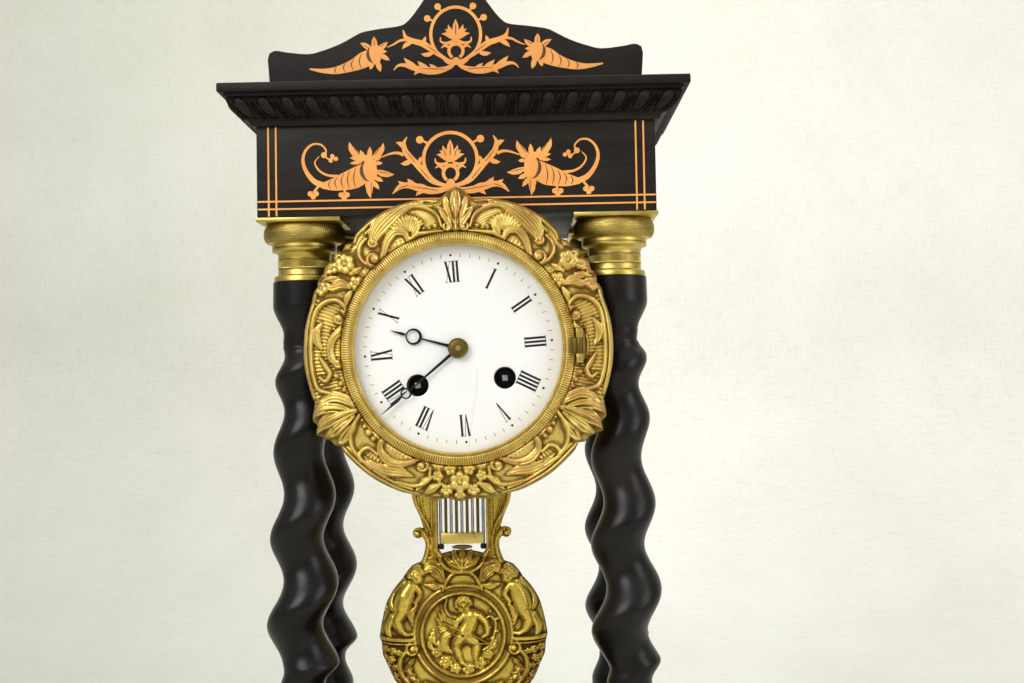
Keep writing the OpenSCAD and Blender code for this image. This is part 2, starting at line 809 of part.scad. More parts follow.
// anchor over the escape wheel, arbor and crutch with its fork
module pallets_crutch() {
  color(steel)
    {
    at_dial() {
      translate([AN[0], 0, AN[1]])
        slab(u(19.4), u(21.4)) {
          circle(r = 1.8, $fn = 12);
          for (sx = [-1, 1]) {
            polygon([[0, 1.6], [sx * 6.8, -2.2], [sx * 6.6, -4.9], [sx * 5.8, -4.6],
              [sx * 5.3, -2.8], [0, -0.9]]);
          }
        }
      bar(AN, 0.8, u(0.1), u(gap - 0.1), 8);
      bar(AN, 0.5, y_plate - plate_t - 0.3, y_back + 2.6);
      bar(AN, 1.6, y_back + 0.5, y_back + 2.2);
    }
    translate([pend_x, y_back + 0.7, z_dial + AN[1] - 43.5]) {
      translate([-0.8, 0, 0]) cube([1.6, 1.1, 42.8]);
      for (sx = [-1, 1]) translate([sx * 1.65 - 0.35, 0, 0]) cube([0.7, 11, 3]);
      translate([-2, 0, 0]) cube([4, 1.1, 3]);
    }
    }
}

module pin_wheel() {
  color(brass)
    at_dial() {
      pinion(P2, 12, 0.46, a_p2p, u(2.5), u(5.5));
      wheel(P2, 72, 0.36, a_p2p, u(29), u(30));
      translate([P2[0], 0, P2[1]])
        rotate([0, -a_p2p, 0])
          for (k = [0 : 9]) rotate([0, 36 * k, 0]) bar([11.3, 0], 0.4, u(30), u(32), 8);
      arbor(P2);
    }
}

module locking_wheel() {
  color(brass)
    at_dial() {
      pinion(L2, 8, 0.36, a_l2p, u(28.4), u(30.6));
      wheel(L2, 70, 0.30, a_l2p, u(18), u(19));
      arbor(L2);
    }
}

module warning_wheel() {
  color(brass)
    at_dial() {
      pinion(W2, 7, 0.30, a_w2p, u(17.4), u(19.6));
      wheel(W2, 60, 0.30, a_w2p, u(24), u(25), 2);
      arbor(W2, 0.7);
    }
}

module fly() {
  color(steel)
    at_dial() {
      pinion(F2, 7, 0.30, a_f2p, u(23.4), u(25.6));
      translate([F2[0], 0, F2[1]]) slab(u(8), u(17)) square([11, 0.8], center = true);
      arbor(F2, 0.7);
    }
}

// ---- motion work and hands ----

module minute_wheel() {
  color(brass)
    at_dial()
      difference() {
        union() {
          translate([MW[0], 0, MW[1]]) slab(-54.4, -53) rotate(a_mw) wheel2d(36, 0.6);
          pinion(MW, 10, 0.576, a_hr, -57.2, -54.4);
        }
        bar(MW, 0.85, -60, -50, 24);
      }
}

module hour_wheel() {
  color(brass)
    at_dial()
      difference() {
        union() {
          translate([0, 0, 0]) slab(-57, -55.8) wheel2d(40, 0.576);
          bar(C0, 2.6, -66.1, -57);
        }
        bar(C0, 1.58, -70, -50, 24);
      }
}

// two pointed rings on a tapering arm, reaching to length l
module hand2d(l, ring_at, ring_r, w) {
  difference() {
    union() {
      circle(r = 4, $fn = 32);
      polygon([[-w * 0.7, 3], [-w * 0.35, ring_at], [w * 0.35, ring_at], [w * 0.7, 3]]);
      translate([0, ring_at]) circle(r = ring_r, $fn = 32);
      polygon([[-w * 0.75, ring_at + ring_r * 0.8], [-0.12, l], [0.12, l],
        [w * 0.75, ring_at + ring_r * 0.8]]);
    }
    translate([0, ring_at + 0.3]) circle(r = ring_r * 0.72, $fn = 32);
  }
}

hour_angle = 289.5;
minute_angle = 234;

module hour_hand() {
  color(blued)
    at_dial()
      slab(-65.9, -65.3)
        difference() {
          rotate(-hour_angle) hand2d(35, 22.8, 4.1, 1.6);
          circle(r = 2.6, $fn = 24);
        }
}

module minute_hand() {
  color(blued)
    at_dial() {
      slab(-66.9, -66.3)
        difference() {
          rotate(-minute_angle) hand2d(50.5, 34, 2.8, 1.6);
          circle(r = 1.3, $fn = 24);
        }
      difference() {
        bar(C0, 4.9, -67.7, -66.9, 32);
        bar(C0, 1.3, -70, -60);
      }
    }
}

// ---- bell and hammer ----

BP = 42 * unit(322);

module bell() {
  color(brass)
    at_dial()
      difference() {
        turned([0, 0], 5)
          polygon([[30, 0], [30, 5], [28, 12], [23, 17], [15, 20], [1, 21], [1, 19.4],
            [14.4, 18.4], [22, 15.6], [26.6, 11.4], [28.4, 4.8], [28.4, 0]]);
        bar(C0, 1.6, 20, 30);
      }
}

module bell_stand() {
  color(brass)
    at_dial() {
      difference() {
        union() {
          bar(BP, 1.9, y_back, 29);
          translate([0, 0, 0]) slab(27, 29) rotate(-38) translate([0, -2.2]) square([42, 4.4]);
          bar(C0, 3, 26, 29);
        }
      }
      bar(C0, 1.5, 23, 26.4);
      bar(C0, 3.2, 22.2, 24);
    }
}

module hammer() {
  color(brass)
    at_dial()
      difference() {
        union() {
          bar(HP, 2.6, 6, 14);
          translate([HP[0], 0, HP[1]]) slab(9, 11)
            rotate(hammer_lean) translate([-1, 0]) square([2, 26]);
          translate([HP[0], 0, HP[1]]) rotate([0, -hammer_lean, 0]) bar([0, 26], 2.8, 6, 13);
        }
        bar(HP, 1.02, 0, 20);
      }
}

hammer_lean = -6.5;

// ---- pendulum ----

module pendulum_cock() {
  color(brass)
    at_dial() {
      difference() {
        union() {
          for (y = [-8, -1]) translate([-8.5, y, 36]) cube([17, 3, 6]);
          for (sx = [-1, 1]) translate([sx * 7 - 1.5, y_back, 36]) cube([3, 14, 6]);
        }
        bar([0, 37.5 - 0.5], 0.5, -10, 5);
      }
      bar([0, 37], 0.5, -8, 2);
      bar(HP, 1.0, y_back - plate_t, 14.8);
      bar(HP, 1.8, 14.2, 15.4);
    }
}

// the pendulum hangs plumb from the cock of the turned movement
module at_bob() {
  translate([pend_x, 0, z_dial - bob_drop]) children();
}
z_hang = bob_drop + 37 * cos(dial_twist);

module pendulum_rod() {
  color(steel)
    at_bob()
      difference() {
        union() {
          bar([0, z_hang], 1.7, -4.8, -1.2);
          slab(-4.8, -1.2) translate([-1.7, z_hang - 5]) square([3.4, 5]);
          slab(y_pend - 0.1, y_pend + 0.1) translate([-1.4, z_hang - 15]) square([2.8, 11]);
          slab(-4.8, -1.2) translate([-1.7, z_hang - 18]) square([3.4, 4]);
          translate([0, y_pend, 90]) cylinder(r = 1, h = z_hang - 107, $fn = 24);
        }
        bar([0, z_hang], 0.55, -6, 0);
      }
}

module gridiron() {
  color(steel)
    at_bob() {
      slab(y_pend - 1.6, y_pend + 1.6) translate([-12.8, 86]) square([25.6, 4]);
      for (i = [-4 : 4])
        translate([i * grid_pitch, y_pend, abs(i) == 4 ? 46 : 53.5])
          cylinder(r = grid_rod / 2, h = abs(i) == 4 ? 40 : 32.5, $fn = 16);
      slab(y_pend - 1.8, y_pend + 1.8) translate([-10.1, 47.6]) square([20.2, 5.9]);
    }
}

// cast bob with its frame: lobed disc, medallion and the scrolled bracket above it
module pendulum_bob() {
  color(gilt)
    at_bob()
      difference() {
        union() {
          slab(y_pend - 3.5, y_pend + 2.5) {
            circle(r = bob_r - 3);
            for (a = [20 : 40 : 340]) rotate(a) translate([0, bob_r - 8]) circle(r = 7.9, $fn = 24);
          }
          turned([0, 0], y_pend - 8)
            polygon([[0, 1.5], [20, 1.5], [22.5, 0], [24, 0.5], [29, 2], [38, 4.5], [0, 4.5]]);
          slab(y_pend - 3, y_pend + 2.5) {
            translate([-19, 30]) square([38, 16]);
            for (sx = [-1, 1]) {
              translate([sx * 14.8 - 1.6, 30]) square([3.2, 54]);
              polygon([[sx * 16, 57], [sx * 18, 60], [sx * 26, 76], [sx * 26, 84], [sx * 16, 84]]);
              translate([sx * 24, 55.5]) circle(r = 3.2, $fn = 24);
              polygon([[sx * 16, 45], [sx * 23, 50], [sx * 24, 53], [sx * 16, 56]]);
            }
          }
        }
        translate([0, y_pend, -50]) cylinder(r = 1.05, h = 20, $fn = 24);
      }
}

module rating_nut() {
  color(brass)
    at_bob()
      translate([0, y_pend, -47.7]) {
        cylinder(r = 4.5, h = 2.6, $fn = 24);
        translate([0, 0, -4]) cylinder(r = 1.8, h = 5, $fn = 24);
        translate([0, 0, 2.5]) cylinder(r = 1, h = 12, $fn = 24);
      }
}

feet();
base_plinth();
base_moulding();
base_block();
base_top_board();
base_inlay();
column_front_left();
column_front_right();
column_back_left();
column_back_right();
column_bases();
capitals();
tie_rods();
tie_nuts();
frieze_box();
frieze_marquetry();
frieze_stringing();
cornice_moulding();
top_board();
crest();
crest_marquetry();
saddle_block();
saddle_screws();
drum();
surround();
dial();
glazed_ring();
dial_glass();
back_door();
hinge_pins();
front_plate();
back_plate();
plate_pillars();
movement_lugs();
time_barrel();
strike_barrel();
time_winding_arbor();
strike_winding_arbor();
intermediate_wheel();
centre_arbor();
third_wheel();
escape_wheel();
pallets_crutch();
pin_wheel();
locking_wheel();
warning_wheel();
fly();
minute_wheel();
hour_wheel();
hour_hand();
minute_hand();
bell();
bell_stand();
hammer();
pendulum_cock();
pendulum_rod();
gridiron();
pendulum_bob();
rating_nut();
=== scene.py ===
"""Looks of the portico clock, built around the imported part. Lengths in mm unless a name says otherwise."""

import math

import bmesh
import bpy
import numpy as np
from mathutils import Matrix, Vector
from mathutils.geometry import delaunay_2d_cdt


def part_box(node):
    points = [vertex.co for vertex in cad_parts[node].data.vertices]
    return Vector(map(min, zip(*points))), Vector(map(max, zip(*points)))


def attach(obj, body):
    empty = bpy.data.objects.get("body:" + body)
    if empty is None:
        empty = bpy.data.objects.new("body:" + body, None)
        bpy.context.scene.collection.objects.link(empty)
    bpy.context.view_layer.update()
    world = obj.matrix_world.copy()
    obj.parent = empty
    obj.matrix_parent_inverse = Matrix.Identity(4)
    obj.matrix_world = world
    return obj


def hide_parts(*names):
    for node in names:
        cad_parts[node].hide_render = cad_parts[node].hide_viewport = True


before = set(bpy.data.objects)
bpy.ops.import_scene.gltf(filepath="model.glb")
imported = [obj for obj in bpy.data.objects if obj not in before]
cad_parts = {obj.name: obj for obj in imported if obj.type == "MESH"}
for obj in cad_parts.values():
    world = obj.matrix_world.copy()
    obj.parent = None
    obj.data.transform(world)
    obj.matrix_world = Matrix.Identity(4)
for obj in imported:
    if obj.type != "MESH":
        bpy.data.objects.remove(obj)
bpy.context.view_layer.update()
bpy.context.scene.view_settings.view_transform = "Standard"

MM = 0.001
TAU = 2 * math.pi
HALF_MOUNT = 21.25  # half the side of a capital or a column's base
MOUNT_HIGH = 31.5


# ---- places, read from the frame ----


def span(node):
    """Lowest and highest corner of a CAD node, in mm."""
    low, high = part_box(node)
    return np.array(low) / MM, np.array(high) / MM


def middle(node):
    low, high = span(node)
    return (low + high) / 2


DIAL = middle("glazed_ring")
DIAL[0] = 0.0
DIAL_TWIST = math.radians(4)
BOB = middle("pendulum_bob")
BOB[2] = span("rating_nut")[0][2] + 51.7
FRIEZE_LOW, FRIEZE_HIGH = span("frieze_stringing")
CREST_LOW, CREST_HIGH = span("crest")
SHAFT_LOW, SHAFT_HIGH = (span("column_front_left")[i][2] for i in (0, 1))
COLUMN_Y = 38.5
HEAD_X = span("capitals")[1][0] - HALF_MOUNT
FOOT_X = span("column_bases")[1][0] - HALF_MOUNT


def column_x(z):
    """How far a column's axis stands from the middle at a height; it leans out towards its foot."""
    below_head, whole = SHAFT_HIGH + MOUNT_HIGH / 2 - z, SHAFT_HIGH - SHAFT_LOW + MOUNT_HIGH
    return HEAD_X + (FOOT_X - HEAD_X) * below_head / whole


# ---- materials ----


class Graph:
    """Short names for building a shader's node tree."""

    def __init__(self, name):
        self.material = bpy.data.materials.new(name)
        self.material.use_nodes = True
        self.nodes = self.material.node_tree.nodes
        self.links = self.material.node_tree.links
        self.surface = self.nodes["Principled BSDF"]
        self.place = self.add("ShaderNodeTexCoord").outputs["Object"]

    def add(self, kind, **settings):
        """A new node of a kind."""
        node = self.nodes.new(kind)
        for key, value in settings.items():
            setattr(node, key, value)
        return node

    def feed(self, socket, value):
        """Links a socket, or sets its value."""
        if isinstance(value, bpy.types.NodeSocket):
            self.links.new(value, socket)
        else:
            socket.default_value = value

    def set(self, **values):
        """Sets inputs of the surface, by their names."""
        for key, value in values.items():
            self.feed(self.surface.inputs[key.replace("_", " ")], value)

    def stretched(self, scale):
        node = self.add("ShaderNodeMapping")
        self.feed(node.inputs["Vector"], self.place)
        node.inputs["Scale"].default_value = scale
        return node.outputs["Vector"]

    def noise(self, scale, detail=4.0, rough=0.55, at=None, distortion=0.0):
        node = self.add("ShaderNodeTexNoise")
        self.feed(node.inputs["Vector"], at or self.place)
        node.inputs["Scale"].default_value = scale
        node.inputs["Detail"].default_value = detail
        node.inputs["Roughness"].default_value = rough
        node.inputs["Distortion"].default_value = distortion
        return node.outputs["Fac"]

    def ramp(self, value, *stops):
        node = self.add("ShaderNodeValToRGB")
        self.feed(node.inputs["Fac"], value)
        points = node.color_ramp.elements
        for _ in range(len(stops) - 2):
            points.new(0.5)
        for point, (position, colour) in zip(points, stops):
            point.position = position
            colour = (colour,) * 3 if isinstance(colour, float) else colour
            point.color = (*colour, 1.0)
        return node.outputs["Color"]

    def mix(self, factor, a, b, blend="MIX"):
        node = self.add("ShaderNodeMix", data_type="RGBA", blend_type=blend)
        self.feed(node.inputs[0], factor)
        for socket, value in ((node.inputs[6], a), (node.inputs[7], b)):
            self.feed(socket, (*value, 1.0) if isinstance(value, tuple) and len(value) == 3 else value)
        return node.outputs[2]

    def maths(self, operation, a, b=0.0):
        node = self.add("ShaderNodeMath", operation=operation)
        self.feed(node.inputs[0], a)
        self.feed(node.inputs[1], b)
        return node.outputs[0]

    def attribute(self, name):
        return self.add("ShaderNodeAttribute", attribute_name=name).outputs["Fac"]

    def bump(self, height, strength, distance):
        node = self.add("ShaderNodeBump")
        node.inputs["Strength"].default_value = strength
        node.inputs["Distance"].default_value = distance * MM
        self.feed(node.inputs["Height"], height)
        self.set(Normal=node.outputs["Normal"])

    def open_behind(self):
        """A wall that is there from the front only, so that the object can be seen from behind it."""
        out = self.nodes["Material Output"].inputs["Surface"]
        both = self.add("ShaderNodeMixShader")
        self.feed(both.inputs[0], self.add("ShaderNodeNewGeometry").outputs["Backfacing"])
        self.feed(both.inputs[1], self.surface.outputs[0])
        self.feed(both.inputs[2], self.add("ShaderNodeBsdfTransparent").outputs[0])
        self.feed(out, both.outputs[0])


def ebony(name, grain, gloss=0.5, dark=(0.0044, 0.0032, 0.0023), light=(0.019, 0.0125, 0.0082), coat=0.0):
    """Stained and polished wood, its grain along the axis with the small number in grain."""
    g = Graph(name)
    along = g.stretched(grain)
    fine = g.noise(900, 6, 0.65, along)
    broad = g.noise(120, 3, 0.5, along, 0.6)
    figure = g.maths("MULTIPLY", fine, broad)
    colour = g.ramp(figure, (0.14, dark), (0.44, light))
    haze = g.noise(26, 3, 0.6)
    worn = g.ramp(haze, (0.48, (0.0, 0.0, 0.0)), (0.75, (0.010, 0.0075, 0.0055)))
    colour = g.mix(1.0, colour, worn, "ADD")
    pores = g.ramp(g.noise(2300, 2, 0.5, along), (0.62, 0.0), (0.70, 1.0))
    colour = g.mix(g.maths("MULTIPLY", pores, 0.55), colour, (0.003, 0.002, 0.002))
    rough = g.ramp(g.maths("ADD", g.maths("MULTIPLY", fine, 0.5), g.maths("MULTIPLY", haze, 0.5)),
                   (0.35, gloss), (0.7, gloss + 0.16))
    g.set(Base_Color=colour, Roughness=rough, IOR=1.42)
    g.surface.inputs["Specular IOR Level"].default_value = 0.28
    g.surface.inputs["Coat Weight"].default_value = coat
    g.surface.inputs["Coat Roughness"].default_value = 0.25
    g.bump(fine, 0.25, 0.22)
    return g.material


def inlay_wood():
    """Orange fruitwood veneer, let in flush and polished over."""
    g = Graph("fruitwood_inlay")
    along = g.stretched((0.3, 1.0, 1.0))
    fine = g.noise(1600, 5, 0.6, along)
    patch = g.noise(70, 3, 0.5)
    colour = g.ramp(patch, (0.3, (0.86, 0.335, 0.060)), (0.5, (0.94, 0.395, 0.082)),
                    (0.72, (0.98, 0.475, 0.120)))
    colour = g.mix(g.maths("MULTIPLY", fine, 0.4), colour, (0.52, 0.19, 0.05))
    g.set(Base_Color=colour, Roughness=0.5)
    g.bump(fine, 0.15, 0.1)
    return g.material


def gilt(name, ground, gold, wear, rough=0.34, extra_painted_shade=0.0):
    """Stamped gilt brass: bright on the high parts, brown in the hollows as patina and painted shade, worn
    red in places.
    """
    g = Graph(name)
    hollow = g.attribute("hollow")
    height = g.attribute("height")
    cloud = g.noise(90, 4, 0.6)
    grit = g.noise(1100, 3, 0.7)
    # Painted shade, together with patina: the hollow mask pulls creases and recesses towards the dark ground
    # colour.
    shade = g.maths("ADD", hollow, g.maths("MULTIPLY", g.maths("SUBTRACT", cloud, 0.5), 0.35))
    shade = g.ramp(shade, (0.24 - extra_painted_shade, 0.0), (0.46 - 2 * extra_painted_shade, 0.55), (0.85 - 2 * extra_painted_shade, 1.0))
    tone = g.ramp(cloud, (0.3, gold), (0.7, (gold[0] * 0.84, gold[1] * 0.80, gold[2] * 0.66)))
    colour = g.mix(shade, tone, ground)
    rub = g.maths("MULTIPLY", g.ramp(height, (0.50, 0.0), (0.84, 1.0)),
                  g.ramp(g.noise(45, 3, 0.6), (0.46, 0.0), (0.60, 1.0)))
    colour = g.mix(g.maths("MULTIPLY", rub, 0.72), colour, wear)
    specks = g.ramp(g.noise(360, 2, 0.5), (0.68, 0.0), (0.74, 1.0))
    colour = g.mix(g.maths("MULTIPLY", specks, 0.6), colour, tuple(c * 0.4 for c in ground))
    roughness = g.ramp(g.maths("ADD", g.maths("MULTIPLY", shade, 0.6), g.maths("MULTIPLY", grit, 0.4)),
                       (0.1, rough), (0.9, 0.7))
    g.set(Base_Color=colour, Metallic=g.ramp(shade, (0.2, 0.92), (1.0, 0.75)), Roughness=roughness)
    g.bump(grit, 0.25, 0.14)
    return g.material


def polished(name, low, high, rough, metallic=1.0, scratch=(1.0, 1.0, 1.0)):
    """Turned or drawn metal with tarnish clouds and fine tool marks."""
    g = Graph(name)
    cloud = g.noise(60, 4, 0.6)
    marks = g.noise(900, 3, 0.6, g.stretched(scratch))
    hollow = g.attribute("hollow")
    colour = g.ramp(cloud, (0.32, low), (0.66, high))
    # Painted shade: where the hollow attribute is set, in the mounts' grooves and knurl cuts, the colour
    # darkens to a deep brown.
    colour = g.mix(g.maths("MULTIPLY", g.ramp(hollow, (0.35, 0.0), (0.95, 1.0)), 0.85), colour,
                   tuple(c * 0.16 for c in low))
    roughness = g.ramp(g.maths("ADD", g.maths("MULTIPLY", cloud, 0.5), g.maths("MULTIPLY", marks, 0.5)),
                       (0.35, rough), (0.7, rough + 0.2))
    g.set(Base_Color=colour, Metallic=metallic, Roughness=roughness)
    g.bump(marks, 0.12, 0.06)
    return g.material


def enamel_white():
    g = Graph("enamel")
    mottle = g.noise(55, 4, 0.6)
    specks = g.ramp(g.noise(700, 2, 0.5), (0.72, 0.0), (0.78, 1.0))
    colour = g.ramp(mottle, (0.3, (0.92, 0.92, 0.90)), (0.7, (0.95, 0.95, 0.935)))
    colour = g.mix(g.maths("MULTIPLY", specks, 0.15), colour, (0.35, 0.31, 0.25))
    g.set(Base_Color=colour, Roughness=g.ramp(mottle, (0.3, 0.12), (0.7, 0.2)))
    g.surface.inputs["Coat Weight"].default_value = 0.4
    g.surface.inputs["Coat Roughness"].default_value = 0.08
    g.bump(g.noise(24, 2, 0.4), 0.05, 0.2)
    return g.material


def paint(name, colour, rough=0.35):
    g = Graph(name)
    patch = g.noise(500, 3, 0.6)
    g.set(Base_Color=g.mix(patch, tuple(c * 0.6 for c in colour), tuple(c * 1.3 for c in colour)),
          Roughness=rough)
    g.bump(patch, 0.1, 0.03)
    return g.material


def clear_glass():
    g = Graph("clear_glass")
    smear = g.noise(30, 3, 0.5)
    g.set(Base_Color=(0.02, 0.022, 0.02, 1.0), Alpha=g.ramp(smear, (0.4, 0.02), (0.8, 0.035)),
          Roughness=0.04, IOR=1.5)
    return g.material


BLACK_X = ebony("ebonised_along", (0.12, 1.0, 1.0))
# Darker copy of the ebonised wood for the crest and the top board: painted shade against the stronger light
# that falls on them from above.
BLACK_TOP_SHADED = ebony("ebonised_top_shaded", (0.12, 1.0, 1.0), 0.52, (0.0034, 0.0026, 0.0019),
                    (0.0125, 0.0086, 0.0058))
BLACK_Y = ebony("ebonised_deep", (1.0, 0.12, 1.0))
BLACK_Z = ebony("ebonised_upright", (1.0, 1.0, 0.14), 0.27, (0.0026, 0.0021, 0.0015),
                (0.008, 0.0062, 0.0042), 0.08)
INLAY = inlay_wood()
BURNT = paint("burnt_shading", (0.10, 0.030, 0.012), 0.5)
GILT = gilt("gilt_brass", (0.20, 0.125, 0.022), (0.81, 0.615, 0.185), (0.56, 0.27, 0.13))
# Darker copy of the gilt for the pendulum: darker gold, a darker ground and a shade ramp that starts earlier
# paint the deeper shade it hangs in; the red-brown rub on its high parts is wear.
GILT_SHADED = gilt("gilt_brass_shaded", (0.095, 0.055, 0.008), (0.76, 0.55, 0.10), (0.36, 0.185, 0.05), 0.23,
                 0.08)
BRASS = polished("turned_brass", (0.44, 0.33, 0.07), (0.66, 0.50, 0.14), 0.3)
BRONZE = polished("bronzed_brass", (0.11, 0.075, 0.018), (0.22, 0.155, 0.04), 0.36)
BRASS_DULL = polished("movement_brass", (0.40, 0.27, 0.10), (0.62, 0.45, 0.18), 0.32)
STEEL = polished("steel", (0.30, 0.30, 0.31), (0.52, 0.52, 0.52), 0.24, scratch=(1.0, 1.0, 0.1))
BLUED = polished("blued_steel", (0.007, 0.007, 0.010), (0.020, 0.019, 0.024), 0.3, 0.7)
ENAMEL = enamel_white()
INK = paint("fired_black", (0.006, 0.006, 0.007), 0.3)
INK_GREY = paint("fired_grey", (0.035, 0.035, 0.04), 0.3)
CRACK = paint("hairline", (0.50, 0.48, 0.44), 0.4)
GLASS = clear_glass()


# ---- meshes ----


def placed(mesh, body, stands_for, smooth):
    """The object of a mesh, on its body. Smooth may be the angle in degrees from which edges stay sharp."""
    obj = bpy.data.objects.new(mesh.name, mesh)
    bpy.context.collection.objects.link(obj)
    if smooth:
        mesh.shade_smooth()
    if smooth and smooth is not True:
        mesh.set_sharp_from_angle(angle=math.radians(smooth))
    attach(obj, body)
    if stands_for:
        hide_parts(stands_for)
    return obj


def piece(name, points, faces, material, body="case", stands_for=None, slot="gilt_brass", smooth=True,
          values=None):
    """A mesh from points in mm, which rides on a body and may stand for a CAD node."""
    mesh = bpy.data.meshes.new(name)
    mesh.from_pydata((np.asarray(points, float) * MM).tolist(), [], [list(map(int, f)) for f in faces])
    mesh.materials.append(material)
    for key, data in (values or {}).items():
        attribute = mesh.attributes.new(key, "FLOAT", "POINT")
        attribute.data.foreach_set("value", np.asarray(data, np.float32).ravel())
    return placed(mesh, body, stands_for, smooth)


def grid_faces(rows, columns, wrap=False):
    """Quads between rows of points; wrap joins the last column to the first."""
    i, j = np.meshgrid(np.arange(rows - 1), np.arange(columns if wrap else columns - 1), indexing="ij")
    k = (j + 1) % columns
    quads = np.stack([i * columns + j, i * columns + k, (i + 1) * columns + k, (i + 1) * columns + j], -1)
    return quads.reshape(-1, 4).tolist()


def rounded(bm, edges, offset, segments=2, **more):
    """Rounds some edges of a mesh."""
    bmesh.ops.bevel(bm, geom=edges, offset=offset, offset_type="OFFSET", segments=segments, profile=0.5,
                    affect="EDGES", **more)


def taken(bm):
    """The points and faces of a finished bmesh, which is freed."""
    bm.verts.index_update()
    out = [tuple(v.co) for v in bm.verts], [[v.index for v in f.verts] for f in bm.faces]
    bm.free()
    return out


def tidied(points, faces):
    """Merged points and outward normals."""
    bm = bmesh.new()
    verts = [bm.verts.new(p) for p in points]
    for face in faces:
        try:
            bm.faces.new([verts[i] for i in face])
        except ValueError:
            pass
    bmesh.ops.remove_doubles(bm, verts=bm.verts, dist=1e-4)
    bmesh.ops.recalc_face_normals(bm, faces=bm.faces)
    return taken(bm)


def refined(node, material, body="case", bevel=0.4):
    """A CAD node's own shape with its sharp edges rounded, which stands for the node."""
    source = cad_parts[node].data
    bm = bmesh.new()
    bm.from_mesh(source)
    bmesh.ops.remove_doubles(bm, verts=bm.verts, dist=2e-6)
    bmesh.ops.dissolve_limit(bm, angle_limit=math.radians(0.6), verts=bm.verts, edges=bm.edges)
    sharp = [e for e in bm.edges if len(e.link_faces) == 2 and e.calc_face_angle(0) > math.radians(28)]
    rounded(bm, sharp, bevel * MM, clamp_overlap=True)
    mesh = bpy.data.meshes.new(node + "_finished")
    bm.to_mesh(mesh)
    bm.free()
    mesh.materials.clear()
    mesh.materials.append(material)
    return placed(mesh, body, node, 38)


def arc(centre, radius, start, end, count):
    """Points of an arc in the x-z plane, angles in degrees anticlockwise from +x."""
    a = np.radians(np.linspace(start, end, count))
    return np.stack([centre[0] + radius * np.cos(a), centre[1] + radius * np.sin(a)], -1)


def curve(points, per_part=8):
    """Catmull-Rom curve through points."""
    p = np.asarray(points, float)
    if len(p) == 2:
        return p[0] + (p[1] - p[0]) * np.linspace(0, 1, per_part + 1)[:, None]
    q = np.vstack([2 * p[0] - p[1], p, 2 * p[-1] - p[-2]])
    t = np.linspace(0, 1, per_part, endpoint=False)[:, None]
    out = []
    for a, b, c, d in zip(q, q[1:], q[2:], q[3:]):
        square, cube = 2 * a - 5 * b + 4 * c - d, 3 * b - a - 3 * c + d
        out.append(0.5 * (2 * b + (c - a) * t + square * t**2 + cube * t**3))
    out.append(p[-1:])
    return np.vstack(out)


def spiral(eye, radius, start, turns):
    """Points from the outside of a volute in to its eye; turns is negative clockwise."""
    t = np.linspace(0, 1, 14)
    last = 0.22  # share of the radius that is left at the eye
    r = radius * (1 - t * (1 - last))
    a = np.radians(start) + turns * TAU * t
    return [(eye[0] + r_ * math.cos(a_), eye[1] + r_ * math.sin(a_)) for r_, a_ in zip(r, a)]


def lathe_y(profile, centre, segments=160, closed=True):
    """Body of revolution about a line along y; the profile is (radius, y)."""
    a = np.linspace(0, TAU, segments, endpoint=False)
    rows = [[(centre[0] + r * math.cos(t), y, centre[2] + r * math.sin(t)) for t in a] for r, y in profile]
    if closed:
        rows.append(rows[0])
    points = np.array(rows).reshape(-1, 3)
    return tidied(points, grid_faces(len(rows), segments, True))


def lathe_z(profile, centre, segments=64):
    """Body of revolution about an upright line; the profile is (radius, z)."""
    a = np.linspace(0, TAU, segments, endpoint=False)
    rows = [[(centre[0] + r * math.cos(t), centre[1] + r * math.sin(t), z) for t in a] for r, z in profile]
    return tidied(np.array(rows).reshape(-1, 3), grid_faces(len(rows), segments, True))


# ---- relief ----


def polar(radius, degrees):
    """Point at a radius and an angle from the top, clockwise."""
    a = math.radians(degrees)
    return (radius * math.sin(a), radius * math.cos(a))


